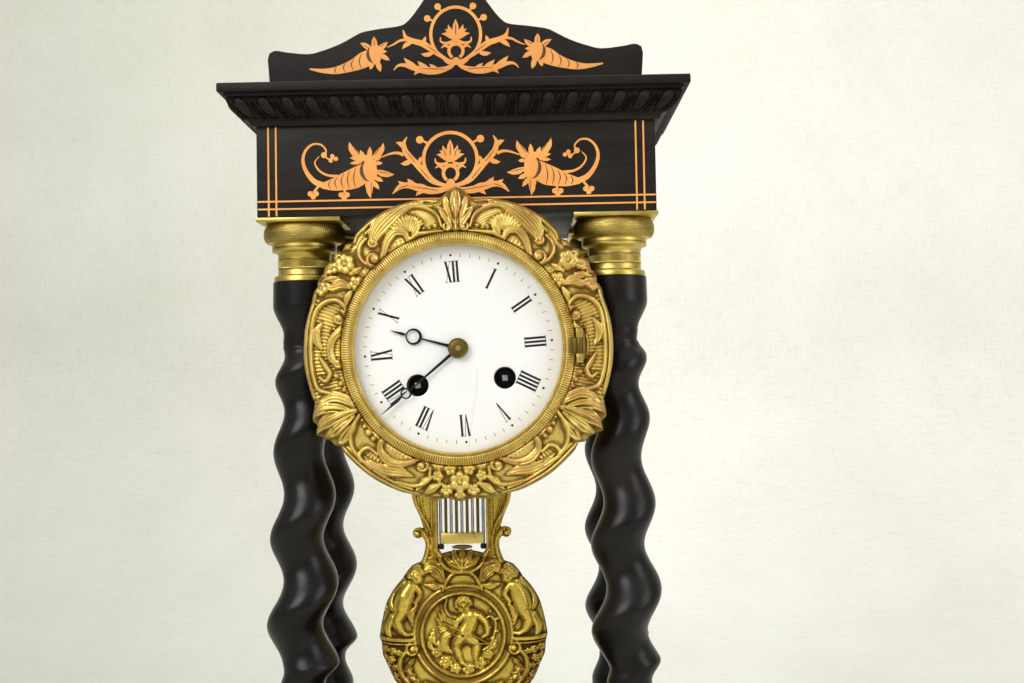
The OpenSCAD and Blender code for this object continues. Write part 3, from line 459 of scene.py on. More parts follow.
class Relief:
    """Height over points of the x-z plane, raised by strokes, leaves, shells, flowers and beads."""

    NOTHING = -99.0  # far below any ground, so that a stroke changes nothing beside itself
    SOFT = 0.25  # difference in height within which two shapes run into each other

    def __init__(self, x, z, ground):
        self.x, self.z = x.ravel().copy(), z.ravel().copy()
        self.ground = ground.ravel().copy()
        self.h = self.ground.copy()

    def close(self, points, reach):
        """Which points lie within reach of a box round some places."""
        low, high = np.min(points, 0) - reach, np.max(points, 0) + reach
        inside = (self.x > low[0]) & (self.x < high[0]) & (self.z > low[1]) & (self.z < high[1])
        return np.nonzero(inside)[0]

    def lay(self, at, rise):
        """Raises the ground at some points by a rise, blended into what is there."""
        new = np.where(rise > 0, self.ground[at] + rise, self.NOTHING)
        old = self.h[at]
        k = np.clip(self.SOFT - np.abs(new - old), 0, None) / self.SOFT
        self.h[at] = np.maximum(new, old) + k * k * self.SOFT / 4

    def stroke(self, points, widths, height, kind="cord", lobes=0, parts=6):
        """Raises a cord, a body as high as it is wide, a flat band or a fluted or lobed leaf along a path."""
        path = curve(points, parts)
        widths = np.atleast_1d(np.asarray(widths, float))
        at = self.close(path, widths.max() * 1.05)
        if len(at) == 0:
            return
        q = np.stack([self.x[at], self.z[at]], -1)
        start, step = path[:-1], np.diff(path, axis=0)
        length = np.maximum(np.hypot(*step.T), 1e-9)
        run = np.concatenate([[0], np.cumsum(length)])
        best, along, side = np.full(len(at), 1e9), np.zeros(len(at)), np.zeros(len(at))
        for s, d, l, r in zip(start, step, length, run):
            v = q - s
            t = np.clip((v @ d) / (l * l), 0, 1)
            e = v - t[:, None] * d
            dist = np.hypot(e[:, 0], e[:, 1])
            closer = dist < best
            best = np.where(closer, dist, best)
            along = np.where(closer, r + t * l, along)
            side = np.where(closer, np.sign(d[0] * v[:, 1] - d[1] * v[:, 0]), side)
        u = along / run[-1]
        w = np.interp(u, np.linspace(0, 1, len(widths)), widths) if len(widths) > 1 else widths[0]
        if kind == "lobed":
            w = w * (0.84 + 0.16 * np.cos(TAU * (lobes * u - 0.45)))
        s = best / np.maximum(w, 1e-6)
        inside = s < 1
        bulge = np.sqrt(np.clip(1 - s * s, 0, 1))
        swell = np.sin(np.pi * np.clip(u + 0.1, 0, 1))
        if kind == "cord":
            rise = height * bulge
        elif kind == "body":
            rise = height * w * bulge
        elif kind == "band":
            rise = height * np.clip((1 - s) * 5, 0, 1) ** 0.5
        elif kind == "leaf":
            flutes = np.cos(TAU * s * side * max(lobes, 3) / 2.6 + 0.9)
            rise = height * bulge**0.75 * (0.86 + 0.14 * flutes) * (0.72 + 0.28 * swell)
        elif kind == "lobed":
            veins = np.cos(TAU * (lobes * u - 0.75 * s + 0.3))
            rise = height * bulge**0.7 * (0.85 + 0.15 * veins) * (0.75 + 0.25 * swell)
            midrib, beside = np.exp(-((s / 0.10) ** 2)), np.exp(-(((s - 0.24) / 0.10) ** 2))
            rise += height * (0.16 * midrib - 0.16 * beside) * (u < 0.9)
        self.lay(at[inside], rise[inside])

    def fan(self, centre, facing, radius, spread, ribs, height):
        """Ribbed shell that opens from a centre; facing is degrees anticlockwise from +x."""
        at = self.close([centre], radius)
        dx, dz = self.x[at] - centre[0], self.z[at] - centre[1]
        r = np.hypot(dx, dz)
        a = (np.degrees(np.arctan2(dz, dx)) - facing + 180) % 360 - 180
        edge = radius * (0.92 + 0.08 * np.abs(np.cos(np.pi * ribs * a / spread)))
        s = r / edge
        inside = (s < 1) & (np.abs(a) < spread / 2)
        ridge = 0.72 + 0.28 * np.abs(np.cos(np.pi * ribs * a / spread))
        rise = height * np.clip((1 - s) * 4, 0, 1) ** 0.5 * ridge * (0.55 + 0.45 * s)
        self.lay(at[inside], rise[inside])

    def flower(self, centre, radius, petals, height, turn=0.0):
        """Overlapping round petals about a domed heart."""
        for k in range(petals):
            a = math.radians(turn + 360 * k / petals)
            lift = 0.86 + 0.14 * (k % 2)
            spot = (centre[0] + 0.56 * radius * math.cos(a), centre[1] + 0.56 * radius * math.sin(a))
            self.bead(spot, radius * 0.50, height * lift, 0.5)
            self.dent(spot, radius * 0.16, height * 0.10)
        self.bead(centre, radius * 0.30, height * 1.12)

    def bead(self, centre, radius, height, power=0.5):
        """A dome."""
        at = self.close([centre], radius)
        r = np.hypot(self.x[at] - centre[0], self.z[at] - centre[1]) / radius
        inside = r < 1
        self.lay(at[inside], height * (1 - r[inside] ** 2) ** power)

    def beads(self, height, *spots):
        """Domes of one height, each spot being (x, z, radius)."""
        for x, z, radius in spots:
            self.bead((x, z), radius, height)

    def flowers(self, petals, height, turn, *spots):
        """Flowers of one kind, each spot being (x, z, radius); turn is in degrees per mm across."""
        for x, z, radius in spots:
            self.flower((x, z), radius, petals, height, x * turn)

    def dent(self, centre, radius, depth):
        """A soft hollow."""
        at = self.close([centre], radius * 2)
        r = np.hypot(self.x[at] - centre[0], self.z[at] - centre[1]) / radius
        self.h[at] -= depth * np.exp(-r * r * 1.5)

    def groove(self, points, width, depth, parts=6):
        """A fine cut along a path."""
        path = curve(points, parts)
        at = self.close(path, width * 2)
        q = np.stack([self.x[at], self.z[at]], -1)
        best = np.full(len(at), 1e9)
        for s, d in zip(path[:-1], np.diff(path, axis=0)):
            t = np.clip(((q - s) @ d) / max(d @ d, 1e-9), 0, 1)
            best = np.minimum(best, np.hypot(*(q - s - t[:, None] * d).T))
        self.h[at] -= depth * np.exp(-((best / width) ** 2))

    def volute(self, eye, radius, start, turns, width, height):
        """A scroll that winds in to a round eye."""
        self.stroke(spiral(eye, radius, start, turns), [width, width * 0.9, width * 0.6], height, parts=4)
        self.bead(eye, radius * 0.56, height * 1.12)


def hollows(h, steps=4, wrap=True):
    """How far each point of a height grid lies below its neighbours, 0 to 1, and how far above them."""
    blur = h.copy()
    for _ in range(steps):
        up = np.vstack([blur[:1], blur[:-1]])
        down = np.vstack([blur[1:], blur[-1:]])
        if wrap:
            left, right = np.roll(blur, 3, 1), np.roll(blur, -3, 1)
        else:
            left, right = np.hstack([blur[:, :1], blur[:, :-1]]), np.hstack([blur[:, 1:], blur[:, -1:]])
        blur = (blur + up + down + left + right) / 5
    # The first value feeds the gilt's painted shade and patina in the hollows; the second its wear on the
    # high parts.
    return np.clip(0.18 + (blur - h) / 1.15, 0, 1), np.clip(0.5 + (h - blur) / 1.1, 0, 1)


# ---- gilt surround of the dial ----

RIM_IN = 58.0
RIM_BACK = -61.0


def rim_edge(degrees):
    """Outline of the surround at an angle from the top, either side."""
    a = np.abs((degrees + 180) % 360 - 180)
    angles = [0, 2.6, 4.4, 6, 8, 13, 22, 34, 41, 44, 46.5, 49, 51.5, 54, 57, 60, 63, 65.5, 68, 72, 82, 96,
              106, 110, 113, 115.5, 118, 120.5, 122.5, 125, 127.5, 129, 132, 145, 158, 165, 170, 175, 180]
    radii = [80.6, 79.4, 76.8, 75.4, 75.2, 76.6, 77.6, 77.8, 76.8, 74.6, 76.2, 75.2, 77.4, 76.4, 77.8,
             76.4, 77.6, 76.0, 77.2, 76.2, 76.8, 76.8, 76.2, 76.0, 78.6, 80.6, 79.4, 82.4, 80.0, 78.0,
             77.6, 75.4, 76.4, 76.8, 76.2, 74.6, 75.6, 74.2, 75.6]
    return np.interp(a, angles, radii)


def carve_rim(r):
    """Lays the ornament of one half of the surround, from the top round to the bottom."""
    # rolled outer edge
    r.stroke([polar(*p) for p in ((73.6, 7.5), (75.4, 12), (76.4, 21), (76.6, 31), (75.4, 40), (73.4, 43.6))],
             [1.2, 1.3, 1.4, 1.3, 1.0], 2.6)
    r.stroke([polar(*p) for p in ((71.4, 9.5), (73.0, 15), (74.0, 23), (74.0, 31), (72.6, 38))], [0.8], 1.9)
    r.stroke([polar(75.4, a) for a in (69, 80, 95, 108)], [1.3], 2.5)
    r.stroke([polar(75.4, a) for a in (130, 142, 154, 164)], [1.4], 2.6)
    r.stroke([polar(72.8, a) for a in (131, 143, 154, 161)], [0.8], 1.9)
    # broad leaf at the top
    for points, wide, high in (
            ([(0.6, 57.5), (3.0, 62.5), (5.6, 66.4), (8.4, 69.6)], [1.0, 2.5, 2.7, 0.9], 3.0),
            ([(0.4, 60.0), (2.4, 66.6), (4.2, 71.4), (5.6, 75.6)], [1.4, 2.7, 2.7, 0.9], 3.4),
            ([(0, 60.0), (0.2, 68.0), (0.4, 75.0), (0, 80.4)], [1.6, 2.7, 2.9, 0.9], 3.9)):
        r.stroke(points, wide, high, "leaf", 4)
    r.stroke([(0, 56.5), (0, 64), (0, 74.5)], [0.9, 0.7, 0.3], 4.5)
    r.groove([(1.5, 57.6), (1.6, 65), (3.2, 73.6)], 0.32, 0.8)
    r.groove([(2.4, 60.4), (4.6, 65.6), (6.8, 68.6)], 0.28, 0.6)
    r.volute((4.0, 59.6), 2.1, 40, -1.0, 0.8, 2.8)
    # upper panel: edge roll, shell, long fluted leaf and two scrolls
    r.stroke([(7.0, 60.0), (9.0, 65.4), (13.0, 68.6), (19.0, 70.4), (25.4, 69.6)], [0.8, 1.0, 1.1, 1.0], 2.5)
    r.stroke([(16.6, 71.8), (24.6, 70.6), (32.6, 65.6), (38.8, 58.8), (41.6, 52.2)],
             [0.8, 3.0, 5.0, 5.0, 1.9], 3.7, "leaf", 8)
    r.volute((41.4, 52.8), 2.6, 200, 1.0, 0.9, 3.3)
    r.fan((24.0, 56.6), 74, 10.4, 150, 12, 2.7)
    r.stroke([(21.4, 56.4), (19.2, 59.4), (20.2, 63.4), (23.4, 65.4)], [1.2, 1.9, 1.6, 0.6], 3.2, "leaf", 3)
    r.stroke([(6.4, 57.4), (12.6, 57.0), (18.4, 56.6), (22.0, 54.2), (23.2, 52.6)], [0.9, 1.1, 1.2, 1.2], 2.8)
    r.stroke([(23.0, 53.2), (25.6, 57.4), (30.6, 57.6), (34.2, 53.0), (35.8, 47.6), (36.8, 43.6)],
             [1.3, 2.1, 2.4, 1.9, 1.3], 3.5, "leaf", 4)
    r.volute((40.6, 44.4), 4.3, 190, 1.3, 1.3, 3.6)
    r.stroke([(44.6, 54.6), (47.2, 51.4), (48.0, 47.0), (45.8, 43.2), (42.4, 41.0)], [1.0, 1.3, 1.2, 0.9],
             2.9)
    r.beads(2.2, (10.2, 60.4, 1.3), (13.2, 59.4, 1.0), (15.8, 59.2, 0.8))
    # flowers at the shoulder
    r.flower((55.0, 42.4), 5.2, 6, 4.4, 20)
    r.flowers(5, 3.7, 7, (54.4, 51.6, 2.7), (59.6, 47.4, 2.9), (61.8, 40.6, 3.7), (49.6, 32.6, 4.0),
              (65.4, 38.0, 2.5))
    r.flower((67.0, 30.4), 3.8, 5, 4.0, 50)
    r.stroke([(52.6, 30.8), (57.2, 32.4), (61.8, 31.0), (65.0, 33.6)], [1.2, 3.0, 2.6, 0.7], 3.4, "leaf", 5)
    r.stroke([(58.4, 35.6), (62.0, 35.2), (66.2, 34.4)], [0.8, 1.9, 0.6], 3.2, "leaf", 3)
    r.stroke([(52.2, 28.6), (54.2, 25.6), (54.6, 22.2)], [0.9, 2.2, 0.7], 2.9, "leaf", 4)
    r.stroke([(47.0, 40.4), (50.0, 38.6), (52.6, 37.0)], [0.6, 1.7, 0.8], 2.9, "leaf", 3)
    # side panel: rolled frame and a long S-scroll over fine ribs
    r.stroke([(54.6, 16.6), (55.4, 21.4), (59.4, 24.6), (65.4, 23.6), (69.6, 19.4), (71.6, 12.4),
              (72.4, 3.4), (72.2, -6.6), (70.8, -14.6), (68.4, -19.4), (62.6, -21.2)],
             [1.0, 1.2, 1.3, 1.3, 1.3, 1.3, 1.1], 2.9)
    r.volute((58.2, 15.6), 3.9, 110, 1.0, 1.1, 3.6)
    r.stroke([(55.4, 12.6), (58.2, 9.0), (61.6, 5.4), (62.8, 0.6), (62.0, -4.2), (58.8, -7.6)],
             [1.2, 2.0, 1.9, 1.8, 1.9, 1.0], 3.7, "leaf", 3)
    r.volute((59.0, -6.4), 2.4, 180, 1.0, 1.0, 3.2)
    r.stroke([(66.8, 13.4), (69.4, 9.4), (69.2, 4.2), (67.0, 0.6)], [0.7, 2.2, 2.4, 0.7], 2.9, "leaf", 4)
    r.stroke([(67.8, -3.6), (65.2, -7.6), (63.0, -11.6), (65.2, -15.2), (68.0, -13.4)],
             [0.7, 1.6, 1.5, 1.2, 0.9], 3.1)
    r.beads(2.5, (60.0, -12.6, 1.5), (57.8, -16.4, 1.4), (56.2, -19.6, 1.1), (62.6, 10.4, 1.0))
    # large leaf on the diagonal
    for points, wide, high in (
            ([(50, -28), (55.6, -24.6), (61.6, -23.2), (67.6, -25.4)], [1.2, 2.8, 3.3, 1.4], 3.2),
            ([(50, -34), (53.6, -39.4), (56.8, -43.6), (59.4, -47.2)], [1.0, 2.5, 3.2, 0.9], 3.0),
            ([(52, -30.5), (59.0, -28.4), (66.0, -28.6), (72.2, -32.4)], [1.6, 3.4, 3.8, 1.2], 3.6),
            ([(52, -32.5), (57.4, -36.6), (62.0, -40.0), (66.2, -44.2)], [1.6, 3.2, 3.6, 1.0], 3.4),
            ([(50, -29.5), (58.0, -32.2), (66.0, -36.2), (71.4, -40.6)], [1.6, 3.6, 4.0, 1.0], 4.1)):
        r.stroke(points, wide, high, "leaf", 5)
    r.stroke([(48.6, -29.2), (57.0, -31.4), (64.6, -35.2), (70.4, -39.4)], [0.9, 0.8, 0.6, 0.3], 4.7)
    for line in (((53, -28.6), (60, -25.6), (66.6, -27.4)), ((55, -29.8), (63, -29.6), (70.0, -33.0)),
                 ((53.6, -33.6), (59, -38.6), (63.0, -43.6)), ((51.6, -34.2), (55, -39.6), (58.0, -45.0))):
        r.groove(line, 0.3, 0.7)
    # lower panel: bounding scroll, C-scroll to its eye, long leaf
    r.stroke([(48.2, -31.4), (52.0, -37.4), (53.4, -43.2), (52.2, -48.8), (48.4, -53.0)],
             [1.1, 1.3, 1.2, 0.9], 3.0)
    r.stroke([(33.4, -45.6), (35.6, -43.9), (38.4, -45.6), (38.6, -50.0), (34.6, -54.8), (28.2, -56.4),
              (22.0, -55.0)], [1.0, 1.3, 1.7, 2.3, 2.0, 1.5, 1.2], 3.6, "leaf", 3)
    r.volute((18.6, -57.4), 3.7, 60, 1.2, 1.2, 3.6)
    r.stroke([(40.4, -51.4), (44.2, -48.2), (47.8, -49.4), (49.0, -53.2), (42.0, -58.2)],
             [0.9, 1.2, 1.2, 1.0], 2.7)
    r.stroke([(23.4, -62.2), (28.6, -60.4), (34.6, -59.6), (41.0, -57.2), (46.6, -52.6)],
             [0.9, 2.9, 3.0, 1.9, 0.6], 3.3, "leaf", 5)
    r.stroke([(14.4, -58.6), (15.6, -64.6), (22.0, -67.2), (31.0, -65.2)], [1.0, 1.3, 1.2, 0.8], 2.8)
    r.beads(2.7, (44.6, -40.8, 1.9), (42.2, -43.8, 1.5), (46.4, -37.6, 1.3), (47.4, -34.6, 0.9))
    # flowers at the bottom
    r.flower((0, -65.6), 5.4, 6, 4.4, 30)
    r.flower((4.6, -59.4), 3.2, 5, 3.6, 10)
    r.flowers(5, 3.6, 31, (6.6, -69.4, 3.4), (10.6, -62.6, 3.0), (0, -72.0, 3.0))
    r.stroke([(9.0, -66.4), (13.6, -68.4), (17.6, -72.0)], [0.9, 2.6, 0.8], 3.2, "leaf", 4)
    r.stroke([(12.2, -62.4), (16.8, -64.6), (21.4, -69.4)], [0.8, 2.2, 0.6], 2.9, "leaf", 4)


def surround():
    """The stamped surround: a polar grid from the rim of the glass out to the shaped edge."""
    columns, rows = 1440, 60
    a = np.linspace(0, 360, columns, endpoint=False)
    t = np.linspace(0, 1, rows)[:, None]
    rho = RIM_IN + (rim_edge(a)[None, :] - RIM_IN) * t
    turn = np.radians(a)[None, :]
    x, z = rho * np.sin(turn), rho * np.cos(turn)
    ground = np.interp(rho, [58.0, 58.6, 62, 67, 72, 75.5, 77, 83], [8.3, 8.9, 8.4, 8.0, 7.5, 6.8, 6.2, 5.6])
    side = np.abs((a + 180) % 360 - 180)[None, :] + 0 * rho
    ribbed = np.clip((side - 68) / 3, 0, 1) * np.clip((116 - side) / 3, 0, 1)
    ribbed = np.maximum(ribbed, np.clip((side - 133) / 3, 0, 1) * np.clip((155 - side) / 3, 0, 1)
                        * (rho > 66))
    ribs = np.cos(TAU * (np.radians(side) * 66 / 1.75 + 0.05 * rho))
    pebble = np.sin(rho * 4.2 + side) * np.sin(np.radians(side) * 66 * 4.2)
    inner = np.exp(-(((rho - 59.4) / 1.2) ** 2)) * np.cos(np.radians(a) * 180)[None, :]
    r = Relief(np.abs(x), z, ground)
    r.h += (0.32 * ribbed * ribs).ravel() + (0.17 * (1 - ribbed) * pebble).ravel() + (0.16 * inner).ravel()
    carve_rim(r)
    h = r.h.reshape(rows, columns)
    edge = np.clip((1 - t) * 8, 0, 1)
    h = h * (0.42 + 0.58 * edge**0.5) + 0 * side
    h = np.minimum(h, 12.9)
    wander = 0.10 * np.sin(a * 0.51 + 1.3)[None, :] * np.sin(rho * 0.7)
    hollow, height = hollows(h, 7)
    h = h + wander
    notch = (x > 0) & (np.abs(z) < 8.7) & (rho < 63.2)
    h = np.where(notch, np.minimum(h, 4.0), h)
    y = RIM_BACK - h
    blocks = [np.stack([x, y, z], -1)]
    for line in (-1, 0):
        blocks.append(np.stack([x[line], np.full(columns, RIM_BACK), z[line]], -1)[None])
    points = np.vstack([blocks[2], blocks[0], blocks[1], blocks[2]]).reshape(-1, 3) + [0, 0, DIAL[2]]
    pad = np.full((1, columns), 0.6)
    values = {
        "hollow": np.vstack([pad, hollow, pad, pad]),
        "height": np.vstack([pad * 0, height, pad * 0, pad * 0]),
    }
    faces = grid_faces(rows + 3, columns, True)
    piece("surround_relief", points, [f[::-1] for f in faces], GILT, stands_for="surround", values=values)


def glazed_ring():
    """Hinged ring that holds the glass: a row of beads inside and a hatched slope outside."""
    columns = 2400
    profile = np.array([[51.4, -65.2], [51.4, -67.2], [51.4, -70.4], [51.6, -71.1], [51.9, -71.6],
                        [52.3, -71.8], [52.7, -71.6], [53.0, -71.1], [53.2, -70.7], [53.4, -70.9],
                        [53.8, -71.15], [54.4, -71.1], [55.0, -70.95], [55.6, -70.75], [56.2, -70.5],
                        [56.8, -70.25], [57.3, -70.0], [57.6, -69.6], [57.75, -68.8], [57.8, -67.6],
                        [57.8, -65.2]])
    a = np.linspace(0, 360, columns, endpoint=False)
    rho, y = np.repeat(profile[:, :1], columns, 1), np.repeat(profile[:, 1:], columns, 1)
    beads = np.abs(np.sin(np.radians(a) * 200))[None, :]
    on_bead = np.clip(1 - np.abs(rho - 52.3) / 0.8, 0, 1)
    y = y + on_bead * (1 - beads**0.5) * 1.1
    hatch = np.abs(np.sin(np.radians(a) * 150 + 0.6 + 0.2 * np.sin(np.radians(a) * 9)))[None, :]
    on_slope = ((rho > 53.7) & (rho < 57.2)).astype(float)
    y = y + on_slope * (1 - hatch**0.6) * 0.42
    # These hollow values paint shade, with patina, between the beads, in the hatching and along the crease at
    # 53.2 mm.
    hollow = np.clip(0.27 + 0.55 * on_bead * (1 - beads) + 0.45 * on_slope * (1 - hatch)
                     + 0.5 * (np.abs(rho - 53.2) < 0.15), 0, 1)
    turn = np.radians(a)[None, :]
    points = np.stack([rho * np.sin(turn), y, rho * np.cos(turn)], -1).reshape(-1, 3) + [0, 0, DIAL[2]]
    points = np.vstack([points, points[:columns]])
    hollow = np.vstack([hollow, hollow[:1]])
    faces = grid_faces(len(profile) + 1, columns, True)
    piece("glazed_ring_beaded", points, [f[::-1] for f in faces], GILT, "glazed_bezel", "glazed_ring",
          values={"hollow": hollow, "height": 0.6 - 0.5 * hollow})
    hinge_x, hinge_y = 59.7, -72.4
    parts = lathe_z([(0.62, -3.9), (1.5, -3.9), (1.6, -3.7), (1.6, 3.7), (1.5, 3.9), (0.62, 3.9),
                     (0.62, -3.9)], (hinge_x, hinge_y), 32)
    points = np.array(parts[0]) + [0, 0, DIAL[2]]
    piece("glazed_ring_knuckle", points, parts[1], BRONZE, "glazed_bezel", slot="turned_brass", smooth=35)
    low, high = DIAL[2] - 3.8, DIAL[2] + 3.8
    box_piece("glazed_ring_leaf", (56.6, hinge_y - 0.1, low), (hinge_x, hinge_y + 1.5, high), 0.25, BRONZE,
              "glazed_bezel")
    box_piece("glazed_ring_lug", (54.6, hinge_y + 0.9, low), (57.4, hinge_y + 3.6, high), 0.25, BRONZE,
              "glazed_bezel")


def box_piece(name, low, high, bevel, material, body="case", slot="turned_brass", stands_for=None):
    """A box with rounded edges."""
    bm = bmesh.new()
    bmesh.ops.create_cube(bm, size=1)
    low, high = np.array(low, float), np.array(high, float)
    for v in bm.verts:
        v.co = Vector((low + high) / 2 + np.array(v.co) * (high - low))
    rounded(bm, bm.edges[:], bevel, clamp_overlap=True)
    piece(name, *taken(bm), material, body, stands_for, slot, smooth=40)


def dial_glass():
    """Thin domed glass."""
    y = -68.65
    profile = [(0.02, 2.9), (10, 2.8), (20, 2.5), (30, 2.0), (38, 1.4), (44, 0.75), (48, 0.3), (51.3, 0),
               (51.3, 1.2), (48, 1.5), (44, 1.95), (38, 2.6), (30, 3.2), (20, 3.7), (10, 4.0), (0.02, 4.1)]
    glass = lathe_y([(r, y - d) for r, d in profile], DIAL, 128)
    piece("dial_glass_dome", *glass, GLASS, "glazed_bezel", "dial_glass", "clear_glass", smooth=50)


# ---- pendulum ----


def carve_bob_frame(r):
    """Children, scrolls and leaves round the medallion, one half."""
    r.stroke(arc((0, 0), 22.0, -90, 90, 40), [1.1], 2.0)
    r.stroke(arc((0, 0), 26.2, -90, 90, 40), [1.0], 1.5)
    # shell over a hatched panel
    for tip, wide in (((0, 44.0), 2.3), ((4.6, 43.0), 2.2), ((8.6, 40.2), 2.1)):
        r.stroke([(0, 34.6), (tip[0] * 0.6, (34.6 + tip[1]) / 2), tip], [1.0, wide, wide, 1.0], 3.4,
                 "leaf", 2)
    r.stroke([(0, 33.4), (5.0, 33.6), (9.4, 36.0), (12.4, 40.6)], [1.3, 1.4, 1.2, 0.9], 3.3)
    r.stroke([(10.6, 23.6), (8.8, 27.4), (6.4, 31.2), (3.0, 33.0)], [1.0, 1.2, 1.1, 0.9], 2.7)
    # wing behind the child, and a leaf below it
    r.stroke([(10.6, 29.2), (13.4, 33.8), (17.6, 35.4), (21.0, 32.0)], [2.0, 4.0, 3.6, 1.0], 3.1, "leaf", 6)
    r.stroke([(12.0, 37.4), (16.4, 39.6), (21.4, 39.2)], [0.8, 1.8, 0.9], 3.0)
    r.stroke([(10.4, 26.2), (14.6, 25.6), (19.6, 26.6)], [1.0, 2.5, 0.9], 2.7, "leaf", 5)
    # child at the shoulder
    r.stroke([(28.0, 25.4), (30.6, 20.6), (32.2, 15.2)], [4.2, 5.2, 5.0], 0.86, "body")
    r.stroke([(32.0, 28.0), (37.2, 23.4), (38.6, 17.0), (36.2, 12.6)], [2.3, 2.1, 1.7, 1.3], 1.35, "body")
    r.stroke([(25.4, 26.2), (22.6, 21.6), (25.0, 17.0)], [2.0, 1.8, 1.3], 1.4, "body")
    r.stroke([(32.0, 13.2), (35.0, 7.8), (33.4, 2.6)], [4.2, 3.7, 2.4], 0.98, "body")
    r.stroke([(37.2, 9.4), (40.0, 4.4), (39.2, -0.6)], [2.7, 2.3, 1.6], 1.1, "body")
    r.stroke([(33.4, 2.6), (30.2, 0.4), (27.6, 0.6)], [1.7, 1.4, 1.0], 1.5, "body")
    r.dent((30.6, 16.0), 0.5, 0.5)
    head(r, (24.6, 31.2), 4.9, -14)
    r.stroke([(24.6, 15.6), (27.6, 11.0), (27.2, 5.4)], [0.9, 2.3, 0.8], 2.7, "leaf", 4)
    r.stroke([(38.8, 25.6), (41.8, 19.6), (42.0, 12.6)], [0.9, 2.4, 1.0], 2.6, "lobed", 4)
    # ledge and clusters under the child
    r.stroke([(27.4, -2.4), (36.0, -2.2), (43.8, -1.4)], [1.0, 1.0, 1.1], 3.2, "band")
    r.stroke([(27.2, -4.6), (36.0, -4.4), (42.6, -3.6)], [0.8], 2.6)
    for x, z, size in ((41.6, -7.0, 2.4), (37.6, -8.0, 2.5), (42.0, -11.6, 2.3), (38.2, -12.6, 2.5),
                       (34.4, -8.8, 2.0), (40.6, -16.0, 2.1), (36.4, -16.8, 2.0)):
        r.flower((x, z), size, 5, 3.0, x * 11 + z * 7)
    # scrolls and leaves below
    r.volute((26.8, -7.4), 3.7, 60, -1.2, 1.3, 3.3)
    r.stroke([(30.4, -8.4), (33.4, -12.6), (33.6, -18.6), (30.0, -24.6), (23.6, -30.0)],
             [1.4, 1.7, 1.7, 1.5, 1.2], 3.2)
    r.stroke([(26.6, -12.6), (29.4, -17.0), (27.6, -22.2), (22.8, -26.2)], [0.9, 2.6, 2.6, 0.8], 3.0,
             "lobed", 4)
    r.stroke([(36.6, -20.0), (35.4, -25.6), (30.6, -31.2)], [1.4, 3.4, 1.0], 2.9, "lobed", 4)
    r.stroke([(19.8, -28.0), (21.4, -33.4), (18.6, -39.6)], [1.0, 3.2, 0.9], 2.9, "lobed", 4)
    r.stroke([(20.4, -25.0), (14.6, -27.6), (9.2, -27.4), (5.6, -29.6)], [1.0, 1.5, 1.4, 1.0], 2.9)
    r.volute((6.0, -33.0), 3.0, 90, 1.2, 1.2, 3.0)
    r.flower((0, -39.0), 4.8, 6, 3.4, 30)
    r.fan((0, -29.6), 270, 6.4, 130, 6, 2.6)
    r.stroke([(8.0, -36.8), (11.6, -39.6), (12.4, -43.2)], [0.9, 2.4, 0.8], 2.7, "leaf", 4)
    r.beads(2.3, (24.6, -34.8, 1.6), (27.6, -34.0, 1.2), (14.0, -33.4, 1.5), (23.4, 38.2, 1.2))


def head(r, centre, radius, lean):
    """A child's head with curls round a plain face."""
    c, s = math.cos(math.radians(lean)), math.sin(math.radians(lean))

    def spot(x, z):
        return (centre[0] + radius * (x * c - z * s), centre[1] + radius * (x * s + z * c))

    r.stroke([spot(0, 0.14), spot(0, -0.26)], [radius * 0.94, radius * 0.74], 0.82, "body", parts=3)
    for reach, size, lift, first, step, count in ((0.80, 0.27, 0.72, -6, 24, 9),
                                                  (0.50, 0.24, 0.90, 24, 26, 6)):
        for k in range(count):
            a = math.radians(first + k * step)
            r.bead(spot(reach * math.cos(a), 0.20 + reach * math.sin(a)), radius * size, radius * lift)
    r.stroke([spot(0, 0.02), spot(0, -0.20)], [radius * 0.07, radius * 0.13], radius * 0.94, "cord", parts=2)
    for side in (-1, 1):
        r.dent(spot(side * 0.30, 0.0), radius * 0.16, radius * 0.14)
    r.groove([spot(-0.18, -0.42), spot(0, -0.46), spot(0.18, -0.42)], radius * 0.05, radius * 0.10, 3)


